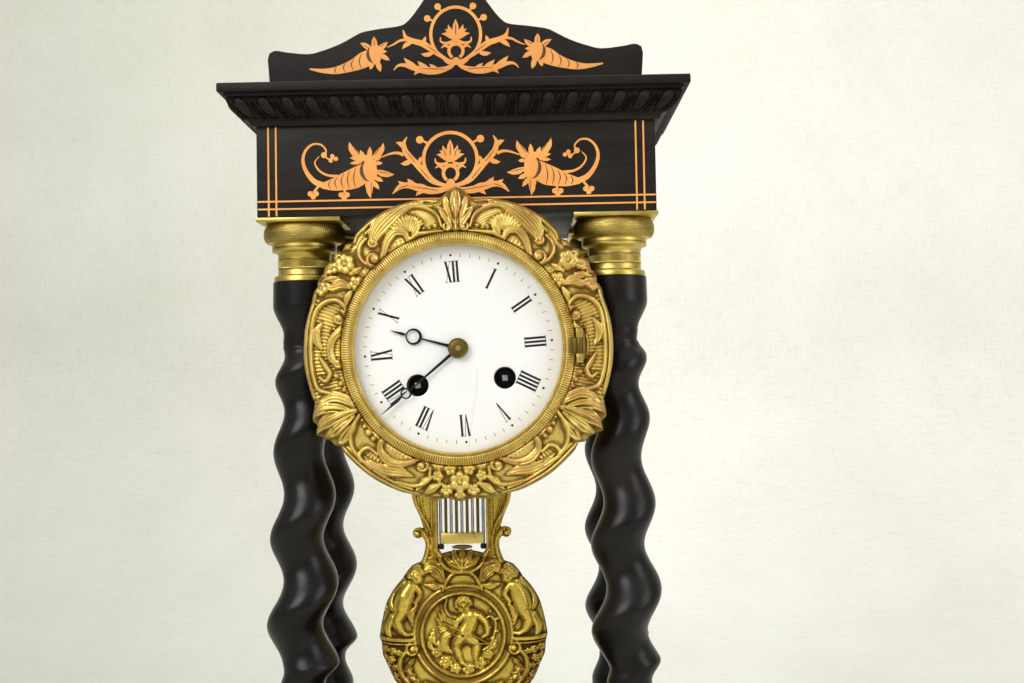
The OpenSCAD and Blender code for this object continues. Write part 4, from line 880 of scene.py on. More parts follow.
def carve_medallion(r):
    """A seated winged child with a bow, not mirrored."""
    r.flowers(5, 1.5, 17, (-9.6, -14.4, 3.6), (-14.0, -9.4, 3.0), (-4.4, -18.0, 3.2), (2.6, -18.4, 3.4),
              (8.6, -15.4, 3.6), (13.0, -10.6, 3.0))
    for points in (((-13.6, -6.0), (-16.4, -2.0), (-15.6, 3.0)),
                   ((-15.4, -9.0), (-17.6, -5.6), (-18.2, -1.4)),
                   ((12.4, -8.6), (16.0, -6.4), (17.4, -2.4)),
                   ((-8.0, -9.6), (-12.0, -7.2), (-13.4, -3.4))):
        r.stroke(points, [0.6, 1.7, 0.5], 1.9, "leaf", 3)
    # wing of long feathers
    for k, (tip, wide) in enumerate((((-8.6, 18.2), 1.3), ((-11.4, 15.6), 1.3), ((-13.2, 12.2), 1.3),
                                     ((-13.8, 8.4), 1.3), ((-13.0, 4.6), 1.3), ((-10.8, 1.2), 1.2))):
        bow = (-9.4 - 0.5 * k, 9.0 - 1.5 * k)
        r.stroke([(-4.6, 8.0 - 0.8 * k), bow, tip], [1.2, wide, 1.0, 0.5], 2.2, "leaf", 2)
    r.stroke([(-4.0, 9.4), (-7.6, 10.6), (-9.4, 14.6), (-8.4, 18.6)], [1.2, 1.3, 1.0, 0.5], 2.9)
    # tendril with buds
    r.stroke([(10.4, -8.4), (14.6, -5.0), (16.6, 0.4), (17.4, 5.6), (14.8, 9.4), (11.6, 7.6), (12.6, 5.4)],
             [0.7, 0.8, 0.7, 0.8, 0.7, 0.6], 2.0)
    r.beads(2.0, *((x, z, 1.1) for x, z in ((14.0, 3.4), (15.2, -2.2), (18.0, 1.6), (18.2, 8.2),
                                            (14.6, 12.0))))
    # drapery, body and limbs
    r.stroke([(-4.6, 1.6), (-9.4, -1.2), (-9.8, -6.2), (-6.4, -9.6)], [1.6, 2.6, 2.4, 0.9], 2.4, "leaf", 5)
    r.stroke([(4.8, 9.4), (3.2, 5.0), (0.6, 0.2)], [4.4, 4.4, 4.6], 0.84, "body")
    r.stroke([(-0.6, -1.2), (-3.0, -4.4), (-3.6, -7.0)], [3.9, 3.5, 2.7], 0.95, "body")
    r.stroke([(3.0, -1.4), (6.6, -4.6), (7.0, -7.4)], [3.7, 3.3, 2.6], 1.0, "body")
    r.stroke([(-3.6, -7.0), (-2.4, -11.2), (-1.0, -14.6)], [2.4, 2.3, 1.4], 1.05, "body")
    r.stroke([(7.0, -7.4), (6.4, -11.4), (6.8, -14.6)], [2.4, 2.1, 1.3], 1.1, "body")
    r.stroke([(-1.0, -15.2), (1.8, -16.4)], [1.4, 1.0], 1.5, "body")
    r.stroke([(6.8, -15.0), (9.6, -15.8)], [1.3, 1.0], 1.5, "body")
    r.stroke([(8.6, 10.0), (12.4, 5.4), (12.8, 0.6), (10.2, -1.8)], [2.3, 2.0, 1.6, 1.2], 1.45, "body")
    r.stroke([(0.6, 10.0), (-3.4, 6.4), (-2.8, 3.2), (1.4, 2.2)], [2.2, 1.9, 1.6, 1.2], 1.5, "body")
    r.stroke([(-10.4, 6.6), (-2.0, 2.6), (6.0, -0.8), (13.4, -4.6)], [0.55, 0.6, 0.6, 0.5], 4.1)
    r.stroke([(-10.4, 6.4), (-4.0, -0.4), (4.0, -4.0), (13.2, -4.8)], [0.35], 3.9)
    r.dent((3.0, 5.2), 0.5, 0.4)
    head(r, (0.6, 15.0), 4.9, 10)


def bob_edge(degrees):
    """Outline of the bob at an angle from the top, either side."""
    a = np.abs((degrees + 180) % 360 - 180)
    angles = [0, 16, 26, 32, 37, 42, 48, 56, 66, 78, 86, 91, 96, 104, 112, 122, 136, 150, 166, 180]
    radii = [44.2, 43.6, 43.4, 44.4, 45.2, 44.6, 43.6, 44.0, 44.3, 44.0, 44.4, 44.9, 44.1, 44.6, 43.8,
             44.4, 43.8, 44.4, 44.0, 44.6]
    return np.interp(a, angles, radii)


def bob_disc():
    """The bob: a stamped front with a medallion, and a plain back."""
    columns, rows = 1120, 76
    a = np.linspace(0, 360, columns, endpoint=False)
    t = np.linspace(0, 1, rows)[:, None] ** 0.85
    rho = bob_edge(a)[None, :] * (0.004 + 0.996 * t)
    turn = np.radians(a)[None, :]
    x, z = rho * np.sin(turn), rho * np.cos(turn)
    ground = np.interp(rho, [0, 16, 20.4, 21.8, 23, 25.4, 27, 33, 39, 42.5, 45],
                       [7.6, 7.4, 7.9, 8.3, 8.1, 8.2, 7.8, 7.9, 7.4, 6.6, 5.6])
    frame_part = Relief(np.abs(x), z, ground)
    outer = (rho > 27).ravel()
    pebble = 0.13 * np.sin(x * 3.6) * np.sin(z * 3.6)
    hatch = 0.20 * np.sin(z * 4.6)
    panel = ((np.abs(x) < 10.5 - 0.55 * np.clip(z - 23, 0, 9)) & (z > 22.5) & (z < 32.6)).ravel()
    frame_part.h += np.where(panel, hatch.ravel(), np.where(outer, pebble.ravel(), 0))
    carve_bob_frame(frame_part)
    figure = Relief(x, z, ground)
    figure.h = frame_part.h.copy()
    carve_medallion(figure)
    h = np.where(rho < 20.6, figure.h.reshape(rows, columns), frame_part.h.reshape(rows, columns))
    h = h * (0.5 + 0.5 * np.clip((1 - t) * 11, 0, 1) ** 0.5)
    hollow, height = hollows(h, 7)
    face = -0.5
    front = np.stack([x, face - np.minimum(h, 12.2), z], -1)
    back = [np.stack([x[-1] * s, np.full(columns, face + d), z[-1] * s], -1)[None]
            for s, d in ((1.0, 0.0), (0.96, 0.2), (0.02, 0.2))]
    points = np.vstack([front, *back]).reshape(-1, 3) + [BOB[0], 0, BOB[2]]
    pad = np.full((3, columns), 0.6)
    values = {"hollow": np.vstack([hollow, pad]), "height": np.vstack([height, pad * 0])}
    faces = grid_faces(rows + 3, columns, True)
    faces.append(list(range(columns)))
    faces.append(list(range((rows + 2) * columns, (rows + 3) * columns))[::-1])
    piece("pendulum_bob_relief", points, [f[::-1] for f in faces], GILT_SHADED, "pendulum", "pendulum_bob",
          values=values)


def carve_bracket(r):
    """Scrolled frame that carries the gridiron, one half; what it doesn't touch stays open."""
    r.stroke([(14.9, 30), (14.9, 85)], [2.1], 2.9, "band")
    r.stroke([(16.8, 37), (16.8, 53)], [2.8], 2.4, "band")
    r.stroke([(16.6, 52), (18.4, 60), (20.0, 68), (20.2, 84.5)], [2.2, 3.2, 4.6, 5.4], 2.2, "band")
    r.stroke([(14.9, 40), (14.9, 85)], [0.9], 3.7)
    # fluted side panels and the long curves that bound them
    r.stroke([(18.4, 54.5), (19.6, 62), (21.6, 70), (22.4, 84.5)], [2.0, 3.2, 4.4, 4.8], 2.9, "leaf", 7)
    r.stroke([(16.6, 52.4), (18.6, 58.6), (22.6, 65.4), (25.2, 72.6), (25.6, 84.4)], [1.0, 1.3, 1.4, 1.4],
             4.2)
    r.stroke([(16.8, 76), (19.8, 79.4), (23.6, 78.4)], [0.9, 1.3, 1.0], 4.0)
    # the curl that stands out at each side
    r.stroke([(20.6, 37.6), (19.0, 42.4), (18.2, 47.4), (19.4, 51.4), (22.0, 54.4), (25.0, 54.2)],
             [1.9, 1.7, 1.6, 1.7, 2.0, 1.7], 4.1)
    r.bead((23.6, 53.4), 2.9, 4.6)
    r.groove([(24.8, 51.6), (22.6, 52.0), (22.4, 54.2), (24.2, 54.8)], 0.3, 1.2)
    r.stroke([(17.2, 40.4), (16.8, 46.4), (17.6, 51.6)], [1.6, 1.9, 1.3], 3.4, "leaf", 3)
    # foot on the bob
    r.stroke([(0, 30.5), (19.6, 30.5)], [3.6], 2.6, "band")
    r.stroke([(0, 36.4), (10, 37.0), (17.4, 38.8)], [4.0, 3.6, 2.2], 2.9, "band")
    r.stroke([(0, 36.0), (6.4, 36.6), (11.0, 39.6), (14.2, 44.4)], [2.8, 2.3, 1.9, 1.4], 3.6)
    for tip, wide in (((0, 44.8), 2.3), ((4.6, 43.6), 2.1), ((8.6, 40.6), 2.0)):
        r.stroke([(0, 34.6), (tip[0] * 0.6, (34.6 + tip[1]) / 2), tip], [1.0, wide, wide, 1.0], 4.4,
                 "leaf", 2)


def bracket():
    """The scrolled frame as a cut-out relief with a flat back."""
    step = 0.3
    xs, zs = np.arange(-27, 27 + step, step), np.arange(27.6, 84.3, step)
    x, z = np.meshgrid(xs, zs)
    r = Relief(np.abs(x), z, np.zeros(x.shape))
    carve_bracket(r)
    solid = (r.h > 0.25).reshape(x.shape)
    fine = 0.12 * np.sin(x * 3.6) * np.sin(z * 3.6)
    h = r.h.reshape(x.shape) + fine
    hollow, height = hollows(np.where(solid, h, 2.4), 4, wrap=False)
    cells = solid[:-1, :-1] & solid[1:, :-1] & solid[:-1, 1:] & solid[1:, 1:]
    used = np.zeros(x.shape, bool)
    used[:-1, :-1] |= cells
    used[1:, :-1] |= cells
    used[:-1, 1:] |= cells
    used[1:, 1:] |= cells
    index = -np.ones(x.shape, int)
    index[used] = np.arange(used.sum())
    i, j = np.nonzero(cells)
    quads = np.stack([index[i, j], index[i, j + 1], index[i + 1, j + 1], index[i + 1, j]], -1)
    edges = np.vstack([quads[:, [0, 1]], quads[:, [1, 2]], quads[:, [2, 3]], quads[:, [3, 0]]])
    found = set(map(tuple, edges.tolist()))
    rim = np.array([e for e in edges.tolist() if (e[1], e[0]) not in found])
    flat = np.stack([x[used], z[used]], -1)
    for _ in range(6):
        total = np.zeros_like(flat)
        count = np.zeros(len(flat))
        for a, b in ((0, 1), (1, 0)):
            np.add.at(total, rim[:, a], flat[rim[:, b]])
            np.add.at(count, rim[:, a], 1)
        on = count > 0
        flat[on] = 0.5 * flat[on] + 0.5 * total[on] / count[on, None]
    front = np.stack([flat[:, 0], -2.4 - h[used], flat[:, 1]], -1)
    back = np.stack([flat[:, 0], np.full(len(flat), -0.6), flat[:, 1]], -1)
    n = len(flat)
    walls = np.stack([rim[:, 1], rim[:, 0], rim[:, 0] + n, rim[:, 1] + n], -1)
    points = np.vstack([front, back]) + [BOB[0], 0, BOB[2]]
    faces = quads.tolist() + (quads[:, ::-1] + n).tolist() + walls.tolist()
    values = {
        "hollow": np.concatenate([hollow[used], np.full(n, 0.6)]),
        "height": np.concatenate([height[used], np.zeros(n)]),
    }
    piece("pendulum_bracket", points, faces, GILT_SHADED, "pendulum", smooth=55, values=values)


def gridiron():
    """Nine rods, steel and brass in turn, on a brass cross bar."""
    pitch = 2.86
    for i in range(-4, 5):
        low = 46.0 if abs(i) == 4 else 53.4
        profile = [(0.02, low), (0.75, low), (0.85, low + 0.15), (0.85, 86.2), (0.02, 86.2)]
        kind, material, slot = ("steel", STEEL, "steel") if i % 2 == 0 else ("brass", BRONZE, "turned_brass")
        rod = lathe_z([(r, z + BOB[2]) for r, z in profile], (BOB[0] + i * pitch, -3), 20)
        piece(f"gridiron_rod_{i + 5}_{kind}", *rod, material, "pendulum", slot=slot, smooth=40)
        if abs(i) == 4:
            nut = [(0.9, 44.6), (1.5, 44.8), (1.7, 45.4), (1.7, 46.8), (1.4, 47.3), (0.9, 47.4)]
            nut = lathe_z([(r, z + BOB[2]) for r, z in nut], (BOB[0] + i * pitch, -3), 24)
            piece(f"gridiron_nut_{i + 5}", *nut, BLUED, "pendulum", slot="steel", smooth=40)
    x, z = BOB[0], BOB[2]
    box_piece("gridiron_crosspiece", (x - 11.4, -4.9, z + 47.6), (x + 11.4, -1.2, z + 53.5), 0.5, GILT,
              "pendulum", "gilt_brass", "gridiron")
    box_piece("gridiron_head", (x - 12.8, -4.6, z + 86), (x + 12.8, -1.4, z + 90), 0.4, GILT, "pendulum",
              "gilt_brass")
    profile = [(0.02, -5.5), (1.6, -5.4), (2.4, -4.9), (2.4, -4.2), (0.02, -4.2)]
    points, faces = lathe_y(profile, (x, 0, z + 45.9), 32, False)
    spread = [(x + (px - x) * 2.3, y, z + 45.9 + (pz - z - 45.9) * 0.5) for px, y, pz in points]
    piece("gridiron_boss", spread, faces, BRONZE, "pendulum", slot="turned_brass", smooth=40)


# ---- dial figures and hands ----


def at_dial(x, z):
    """A point of the dial, turned with the movement, in the frame's x and z."""
    c, s = math.cos(DIAL_TWIST), math.sin(DIAL_TWIST)
    return x * c - z * s, DIAL[2] + x * s + z * c


def dome(x, z):
    """Front of the dial at a point."""
    return float(np.interp(math.hypot(x, z), [0, 26, 44, 53], [-64.6, -64.35, -63.9, -63.5]))


class Ink:
    """Flat marks on the dial, gathered into one mesh."""

    def __init__(self, rise=0.05):
        self.points, self.faces, self.rise = [], [], rise

    def shape(self, outline):
        start = len(self.points)
        for x, z in outline:
            px, pz = at_dial(x, z)
            self.points.append((px, dome(x, z) - self.rise, pz))
        self.faces.append(list(range(start, start + len(outline))))

    def radial(self, angle, corners):
        """A polygon given as (sideways, radius) on the ray at an angle from the top, clockwise."""
        s, c = math.sin(math.radians(angle)), math.cos(math.radians(angle))
        self.shape([(u * c + v * s, -u * s + v * c) for u, v in corners])

    def bar(self, angle, a, b, width_a, width_b=None):
        """A stroke of a figure from a to b, each (sideways, radius)."""
        width_b = width_a if width_b is None else width_b
        (x0, y0), (x1, y1) = a, b
        self.radial(angle, [(x0 - width_a / 2, y0), (x0 + width_a / 2, y0), (x1 + width_b / 2, y1),
                            (x1 - width_b / 2, y1)])

    def dot(self, angle, radius, size):
        turns = np.linspace(0, TAU, 14)[:-1]
        self.radial(angle, [(size * math.cos(t), radius + size * math.sin(t)) for t in turns])


WINDING_HOLE = (21.7, -16.5)
FIGURE_LOW, FIGURE_HIGH = 32.9, 43.6
NUMERALS = ("XII", "I", "II", "III", "IIII", "V", "VI", "VII", "VIII", "IX", "X", "XI")
FIGURE_WIDTH = {"I": 1.9, "V": 3.3, "X": 3.6}
THICK, HAIR, SERIF = 1.12, 0.24, 0.26


def numeral(ink, angle, text):
    """A Roman numeral standing on the ray at an angle, its foot to the centre."""
    total = sum(FIGURE_WIDTH[c] for c in text)
    x = -total / 2
    low, high = FIGURE_LOW, FIGURE_HIGH
    for c in text:
        w = FIGURE_WIDTH[c]
        m = x + w / 2
        if c == "I":
            ink.bar(angle, (m, low), (m, high), THICK)
            for end in (low, high - SERIF):
                ink.bar(angle, (m, end), (m, end + SERIF), 2.0)
        elif c == "V":
            ink.bar(angle, (m + 0.15, low), (m - w / 2 + 0.75, high), 0.5, THICK)
            ink.bar(angle, (m + 0.15, low), (m + w / 2 - 0.4, high), 0.3, HAIR)
            ink.bar(angle, (m - w / 2 + 0.75, high - SERIF), (m - w / 2 + 0.75, high), 1.7)
            ink.bar(angle, (m + w / 2 - 0.5, high - SERIF), (m + w / 2 - 0.5, high), 1.3)
        else:
            ink.bar(angle, (m + w / 2 - 0.85, low), (m - w / 2 + 0.85, high), THICK)
            ink.bar(angle, (m - w / 2 + 0.6, low), (m + w / 2 - 0.6, high), HAIR)
            for end in (low, high - SERIF):
                for side in (-1, 1):
                    arm = m + side * (w / 2 - 0.75)
                    ink.bar(angle, (arm, end), (arm, end + SERIF), 1.5)
        x += w


def dial_marks():
    """Figures, minute marks, and one hair crack down from the centre."""
    ink, grey = Ink(), Ink(0.04)
    for hour, text in enumerate(NUMERALS):
        numeral(ink, hour * 30, text)
        ink.dot(hour * 30, 46.5, 0.62)
    for minute in range(60):
        if minute % 5:
            grey.bar(minute * 6, (0, 45.4), (0, 47.3), 0.26)
    piece("dial_numerals", ink.points, ink.faces, INK, slot="enamel", smooth=False)
    piece("dial_minutes", grey.points, grey.faces, INK_GREY, slot="enamel", smooth=False)
    crack = Ink(0.03)
    line = curve([(8.6, -9.4), (7.4, -20), (4.6, -32), (2.6, -41), (1.2, -49)], 8)
    for p, q in zip(line, line[1:]):
        crack.shape([(p[0] - 0.06, p[1]), (p[0] + 0.06, p[1]), (q[0] + 0.06, q[1]), (q[0] - 0.06, q[1])])
    piece("dial_hairline", crack.points, crack.faces, CRACK, slot="enamel", smooth=False)


def dial_plate():
    """Fired dial: domed enamel with a softly rolled edge at each winding hole."""
    holes = [(-WINDING_HOLE[0], WINDING_HOLE[1]), WINDING_HOLE]
    hole_r, centre_r, edge_r = 5.5, 3.3, 53.0
    loops = [arc((0, 0), edge_r, 0, 360, 161)[:-1], arc((0, 0), centre_r, 0, 360, 33)[:-1]]
    loops += [arc(h, hole_r, 0, 360, 65)[:-1] for h in holes]
    lip = [arc(h, hole_r + 0.45, 0, 360, 65)[:-1] for h in holes]
    rings = [arc((0, 0), r, 0, 360, max(24, int(r * 2.2)))[:-1]
             for r in (8, 14, 20, 26, 32, 38, 44, 48.5, 51.5)]
    points, edges = [], []
    for loop in loops:
        start = len(points)
        points += loop.tolist()
        edges += [(start + i, start + (i + 1) % len(loop)) for i in range(len(loop))]
    for ring in rings + lip:
        for p in ring.tolist():
            if all(math.dist(p, h) > hole_r + 0.4 for h in holes):
                points.append(p)
    verts, _, faces, *_ = delaunay_2d_cdt([Vector(p) for p in points], edges, [], 1, 1e-5)
    keep = []
    for f in faces:
        c = sum((verts[i] for i in f), Vector((0, 0))) / len(f)
        if c.length > centre_r and all((c - Vector(h)).length > hole_r for h in holes):
            keep.append(list(f))
    spots, front = [], len(verts)
    for depth in (0.0, 1.3):
        for v in verts:
            fall = max(0.0, 1 - min(abs(math.dist(v, h) - hole_r) for h in holes) / 0.44) * 0.22
            px, pz = at_dial(v[0], v[1])
            spots.append((px, dome(v[0], v[1]) + (fall if depth == 0 else depth), pz))
    faces = keep + [[i + front for i in f[::-1]] for f in keep]
    used = {edge: True for f in keep for edge in zip(f, f[1:] + f[:1])}
    faces += [[b, a, a + front, b + front] for a, b in used if (b, a) not in used]
    piece("dial_enamel", *tidied(spots, faces), ENAMEL, stands_for="dial", slot="enamel", smooth=50)


def hand(name, node, body, angle, length, ring_at, ring_r, hole_r, hole_lift, y_low, y_high, hub_r, bore_r):
    """A ringed hand cut from sheet, with softened edges."""
    turn = math.radians(angle)

    def put(x, r):
        return at_dial(x * math.cos(turn) + r * math.sin(turn), -x * math.sin(turn) + r * math.cos(turn))

    bm = bmesh.new()

    def plate(outline, hole=None):
        loops = [[bm.verts.new((put(*p)[0], y, put(*p)[1])) for p in loop]
                 for loop in ((outline, hole) if hole is not None else (outline,)) for y in (y_low, y_high)]
        if hole is None:
            bm.faces.new(loops[0])
            bm.faces.new(loops[1][::-1])
        for i in range(len(outline)):
            j = (i + 1) % len(outline)
            out0, out1 = loops[:2]
            bm.faces.new((out0[i], out1[i], out1[j], out0[j]))
            if hole is not None:
                in0, in1 = loops[2:]
                bm.faces.new((in0[j], in1[j], in1[i], in0[i]))
                bm.faces.new((out0[i], out0[j], in0[j], in0[i]))
                bm.faces.new((out1[j], out1[i], in1[i], in1[j]))

    plate(arc((0, 0), hub_r, 0, 360, 49)[:-1], arc((0, 0), bore_r, 0, 360, 49)[:-1])
    plate(arc((0, ring_at), ring_r, 0, 360, 49)[:-1], arc((0, ring_at + hole_lift), hole_r, 0, 360, 49)[:-1])
    plate([(-0.85, hub_r * 0.85), (0.85, hub_r * 0.85), (0.38, ring_at - ring_r * 0.96),
           (-0.38, ring_at - ring_r * 0.96)])
    tip0 = ring_at + ring_r
    swell = [(0.30, tip0 - 0.25), (0.72, tip0 + (length - tip0) * 0.22), (0.50, tip0 + (length - tip0) * 0.5),
             (0.10, length)]
    plate([(-x, r) for x, r in swell] + swell[::-1])
    bmesh.ops.recalc_face_normals(bm, faces=bm.faces)
    rounded(bm, [e for e in bm.edges if e.calc_face_angle(0) > 0.9], 0.12)
    piece(name, *taken(bm), BLUED, body, node, "blued_steel", smooth=40)


def hands():
    hand("hour_hand_blued", "hour_hand", "hour", 289.5, 35.0, 22.8, 4.1, 3.05, 0.35, -65.9, -65.3, 3.7, 2.6)
    hand("minute_hand_blued", "minute_hand", "centre", 234, 50.5, 34.0, 2.8, 1.95, 0.2, -66.9, -66.3, 2.6,
         1.3)
    x, z = at_dial(0, 0)
    profile = [(1.3, -66.9), (4.7, -66.95), (5.05, -67.1), (5.05, -67.5), (4.8, -67.75), (4.45, -67.7),
               (4.2, -67.5), (3.2, -67.75), (2.2, -67.9), (1.3, -67.95), (1.3, -66.9)]
    piece("minute_hand_collet", *lathe_y(profile, (x, 0, z), 64), BRONZE, "centre", slot="turned_brass",
          smooth=50)
    pin = [(0.02, -68.1), (0.5, -68.1), (0.75, -67.95), (0.8, -67.0), (0.02, -67.0)]
    piece("minute_hand_pin", *lathe_y(pin, (x, 0, z), 24, False), BLUED, "centre", slot="blued_steel",
          smooth=50)


# ---- marquetry ----


class Veneer:
    """Flat inlaid shapes in one mesh, each a little proud of the board, laid out about a middle point."""

    STEP = 0.0008  # each shape lies this much over the one before, so that no two share a plane
    SUNK = 0.05

    def __init__(self, y, x0=0.0, z0=0.0):
        self.points, self.faces, self.y, self.count = [], [], y, 0
        self.x0, self.z0 = x0, z0

    def spots(self, points, side=1):
        """Points measured from the middle, on its right (1) or its left (-1), in the frame's x and z."""
        return [(self.x0 + side * x, self.z0 + z) for x, z in points]

    def level(self, rise):
        self.count += 1
        return self.y - rise - self.STEP * self.count

    def plate(self, outline, rise=0.12):
        y = self.level(rise)
        start, n = len(self.points), len(outline)
        for depth in (y, self.y + self.SUNK):
            self.points += [(p[0], depth, p[1]) for p in outline]
        self.faces.append(list(range(start, start + n)))
        self.faces += [[start + (i + 1) % n, start + i, start + n + i, start + n + (i + 1) % n]
                       for i in range(n)]

    def ribbon(self, points, widths, rise=0.12, parts=7):
        """A stroke of changing width; its ends are pointed where the width is small."""
        path = curve(points, parts)
        run = np.concatenate([[0], np.cumsum(np.hypot(*np.diff(path, axis=0).T))])
        w = np.interp(run / run[-1], np.linspace(0, 1, len(widths)), widths) / 2
        d = np.gradient(path, axis=0)
        d /= np.maximum(np.hypot(d[:, 0], d[:, 1]), 1e-9)[:, None]
        off = np.stack([-d[:, 1], d[:, 0]], -1) * w[:, None]
        left, right = path + off, path - off
        y, sunk = self.level(rise), self.y + self.SUNK
        start, n = len(self.points), len(path)
        for side, depth in ((left, y), (right, y), (left, sunk), (right, sunk)):
            self.points += [(p[0], depth, p[1]) for p in side]
        for i in range(n - 1):
            a, b, c, e = (start + k * n + i for k in range(4))
            self.faces += [[a, a + 1, b + 1, b], [a + 1, a, c, c + 1], [b, b + 1, e + 1, e]]
        for i in (0, n - 1):
            a, b, c, e = (start + k * n + i for k in range(4))
            self.faces.append([a, b, e, c])

    def disc(self, centre, radius):
        self.plate(arc(centre, radius, 0, 360, 25)[:-1].tolist())

    def leaf(self, base, tip, width, bend=0.0):
        """A pointed leaf, widest a third of the way up."""
        b, t = np.array(base, float), np.array(tip, float)
        side = np.array([-(t - b)[1], (t - b)[0]]) * bend
        self.ribbon([b, b + (t - b) * 0.35 + side, b + (t - b) * 0.7 + side, t],
                    [width * 0.55, width * 1.08, width * 0.9, 0.1])

    def ring(self, rise, rx, rz, width, gap=0.0):
        """A ring at a height over the middle, open by a gap in degrees at its foot."""
        a = np.radians(np.linspace(-90 + gap, 270 - gap, 73))
        path = np.stack([self.x0 + rx * np.cos(a), self.z0 + rise + rz * np.sin(a)], -1)
        self.ribbon(path.tolist(), [width, width], parts=1)

    def pair(self, points, widths, rise=0.12):
        """The same stroke on the right and on the left of the middle."""
        for side in (1, -1):
            self.ribbon(self.spots(points, side), widths, rise)

    def leaves(self, base, tip, width, bend=0.0):
        for side in (1, -1):
            self.leaf(*self.spots((base, tip), side), width, bend * side)

    def berries(self, centre, radius, stalk=(), widths=()):
        """Round buds on both sides, each on a stalk if one is given."""
        for side in (1, -1):
            self.disc(self.spots([centre], side)[0], radius)
            if stalk:
                self.ribbon(self.spots(stalk, side), widths)

    def open_loop(self, rise, rx, rz, widths):
        """A loop round the middle line that is open at its foot."""
        t = np.linspace(-2.6, 2.6, 25)
        self.ribbon(self.spots(np.stack([rx * np.sin(t), rise + rz * np.cos(t)], -1)), widths, parts=1)

    def horns(self, top, low, mouth):
        """Horns of plenty: two edges, and the oval mouth as (x, z, half width, half height)."""
        t = np.linspace(0, TAU, 29)[:-1]
        body = curve(top, 5).tolist() + curve(low, 5).tolist()
        x, z, rx, rz = mouth
        for side in (1, -1):
            self.plate(self.spots(body[::side], side))
            self.plate(self.spots(zip(x + rx * np.cos(t), z + rz * np.sin(t)), side))

    def trefoil(self, stem, tip):
        """Three leaves on a stem, on both sides."""
        for side in (1, -1):
            self.ribbon(self.spots((stem, tip), side), [1.3, 1.0])
            for dx, dz in ((-1.5, -0.6), (1.5, -0.6), (0, -2.1)):
                self.disc(self.spots([(tip[0] + dx, tip[1] + dz)], side)[0], 1.35)

    def burnt_lines(self, ribs, veins, lift=0.0):
        """Fine dark lines: ribs across a horn as (x, slant, top, foot), and straight veins."""
        for x, slant, top, foot in ribs:
            self.pair([(x, top), (x + slant, (top + foot) / 2 + lift), (x + slant * 0.2, foot)],
                      [0.25, 0.6, 0.25], 0.02)
        for line in veins:
            self.pair(line, [0.3, 0.42, 0.12], 0.02)

    def made(self, name, material, stands_for=()):
        piece(name, self.points, self.faces, material, stands_for=stands_for, slot="boxwood_inlay",
              smooth=False)


BURN_DEPTH = 0.16


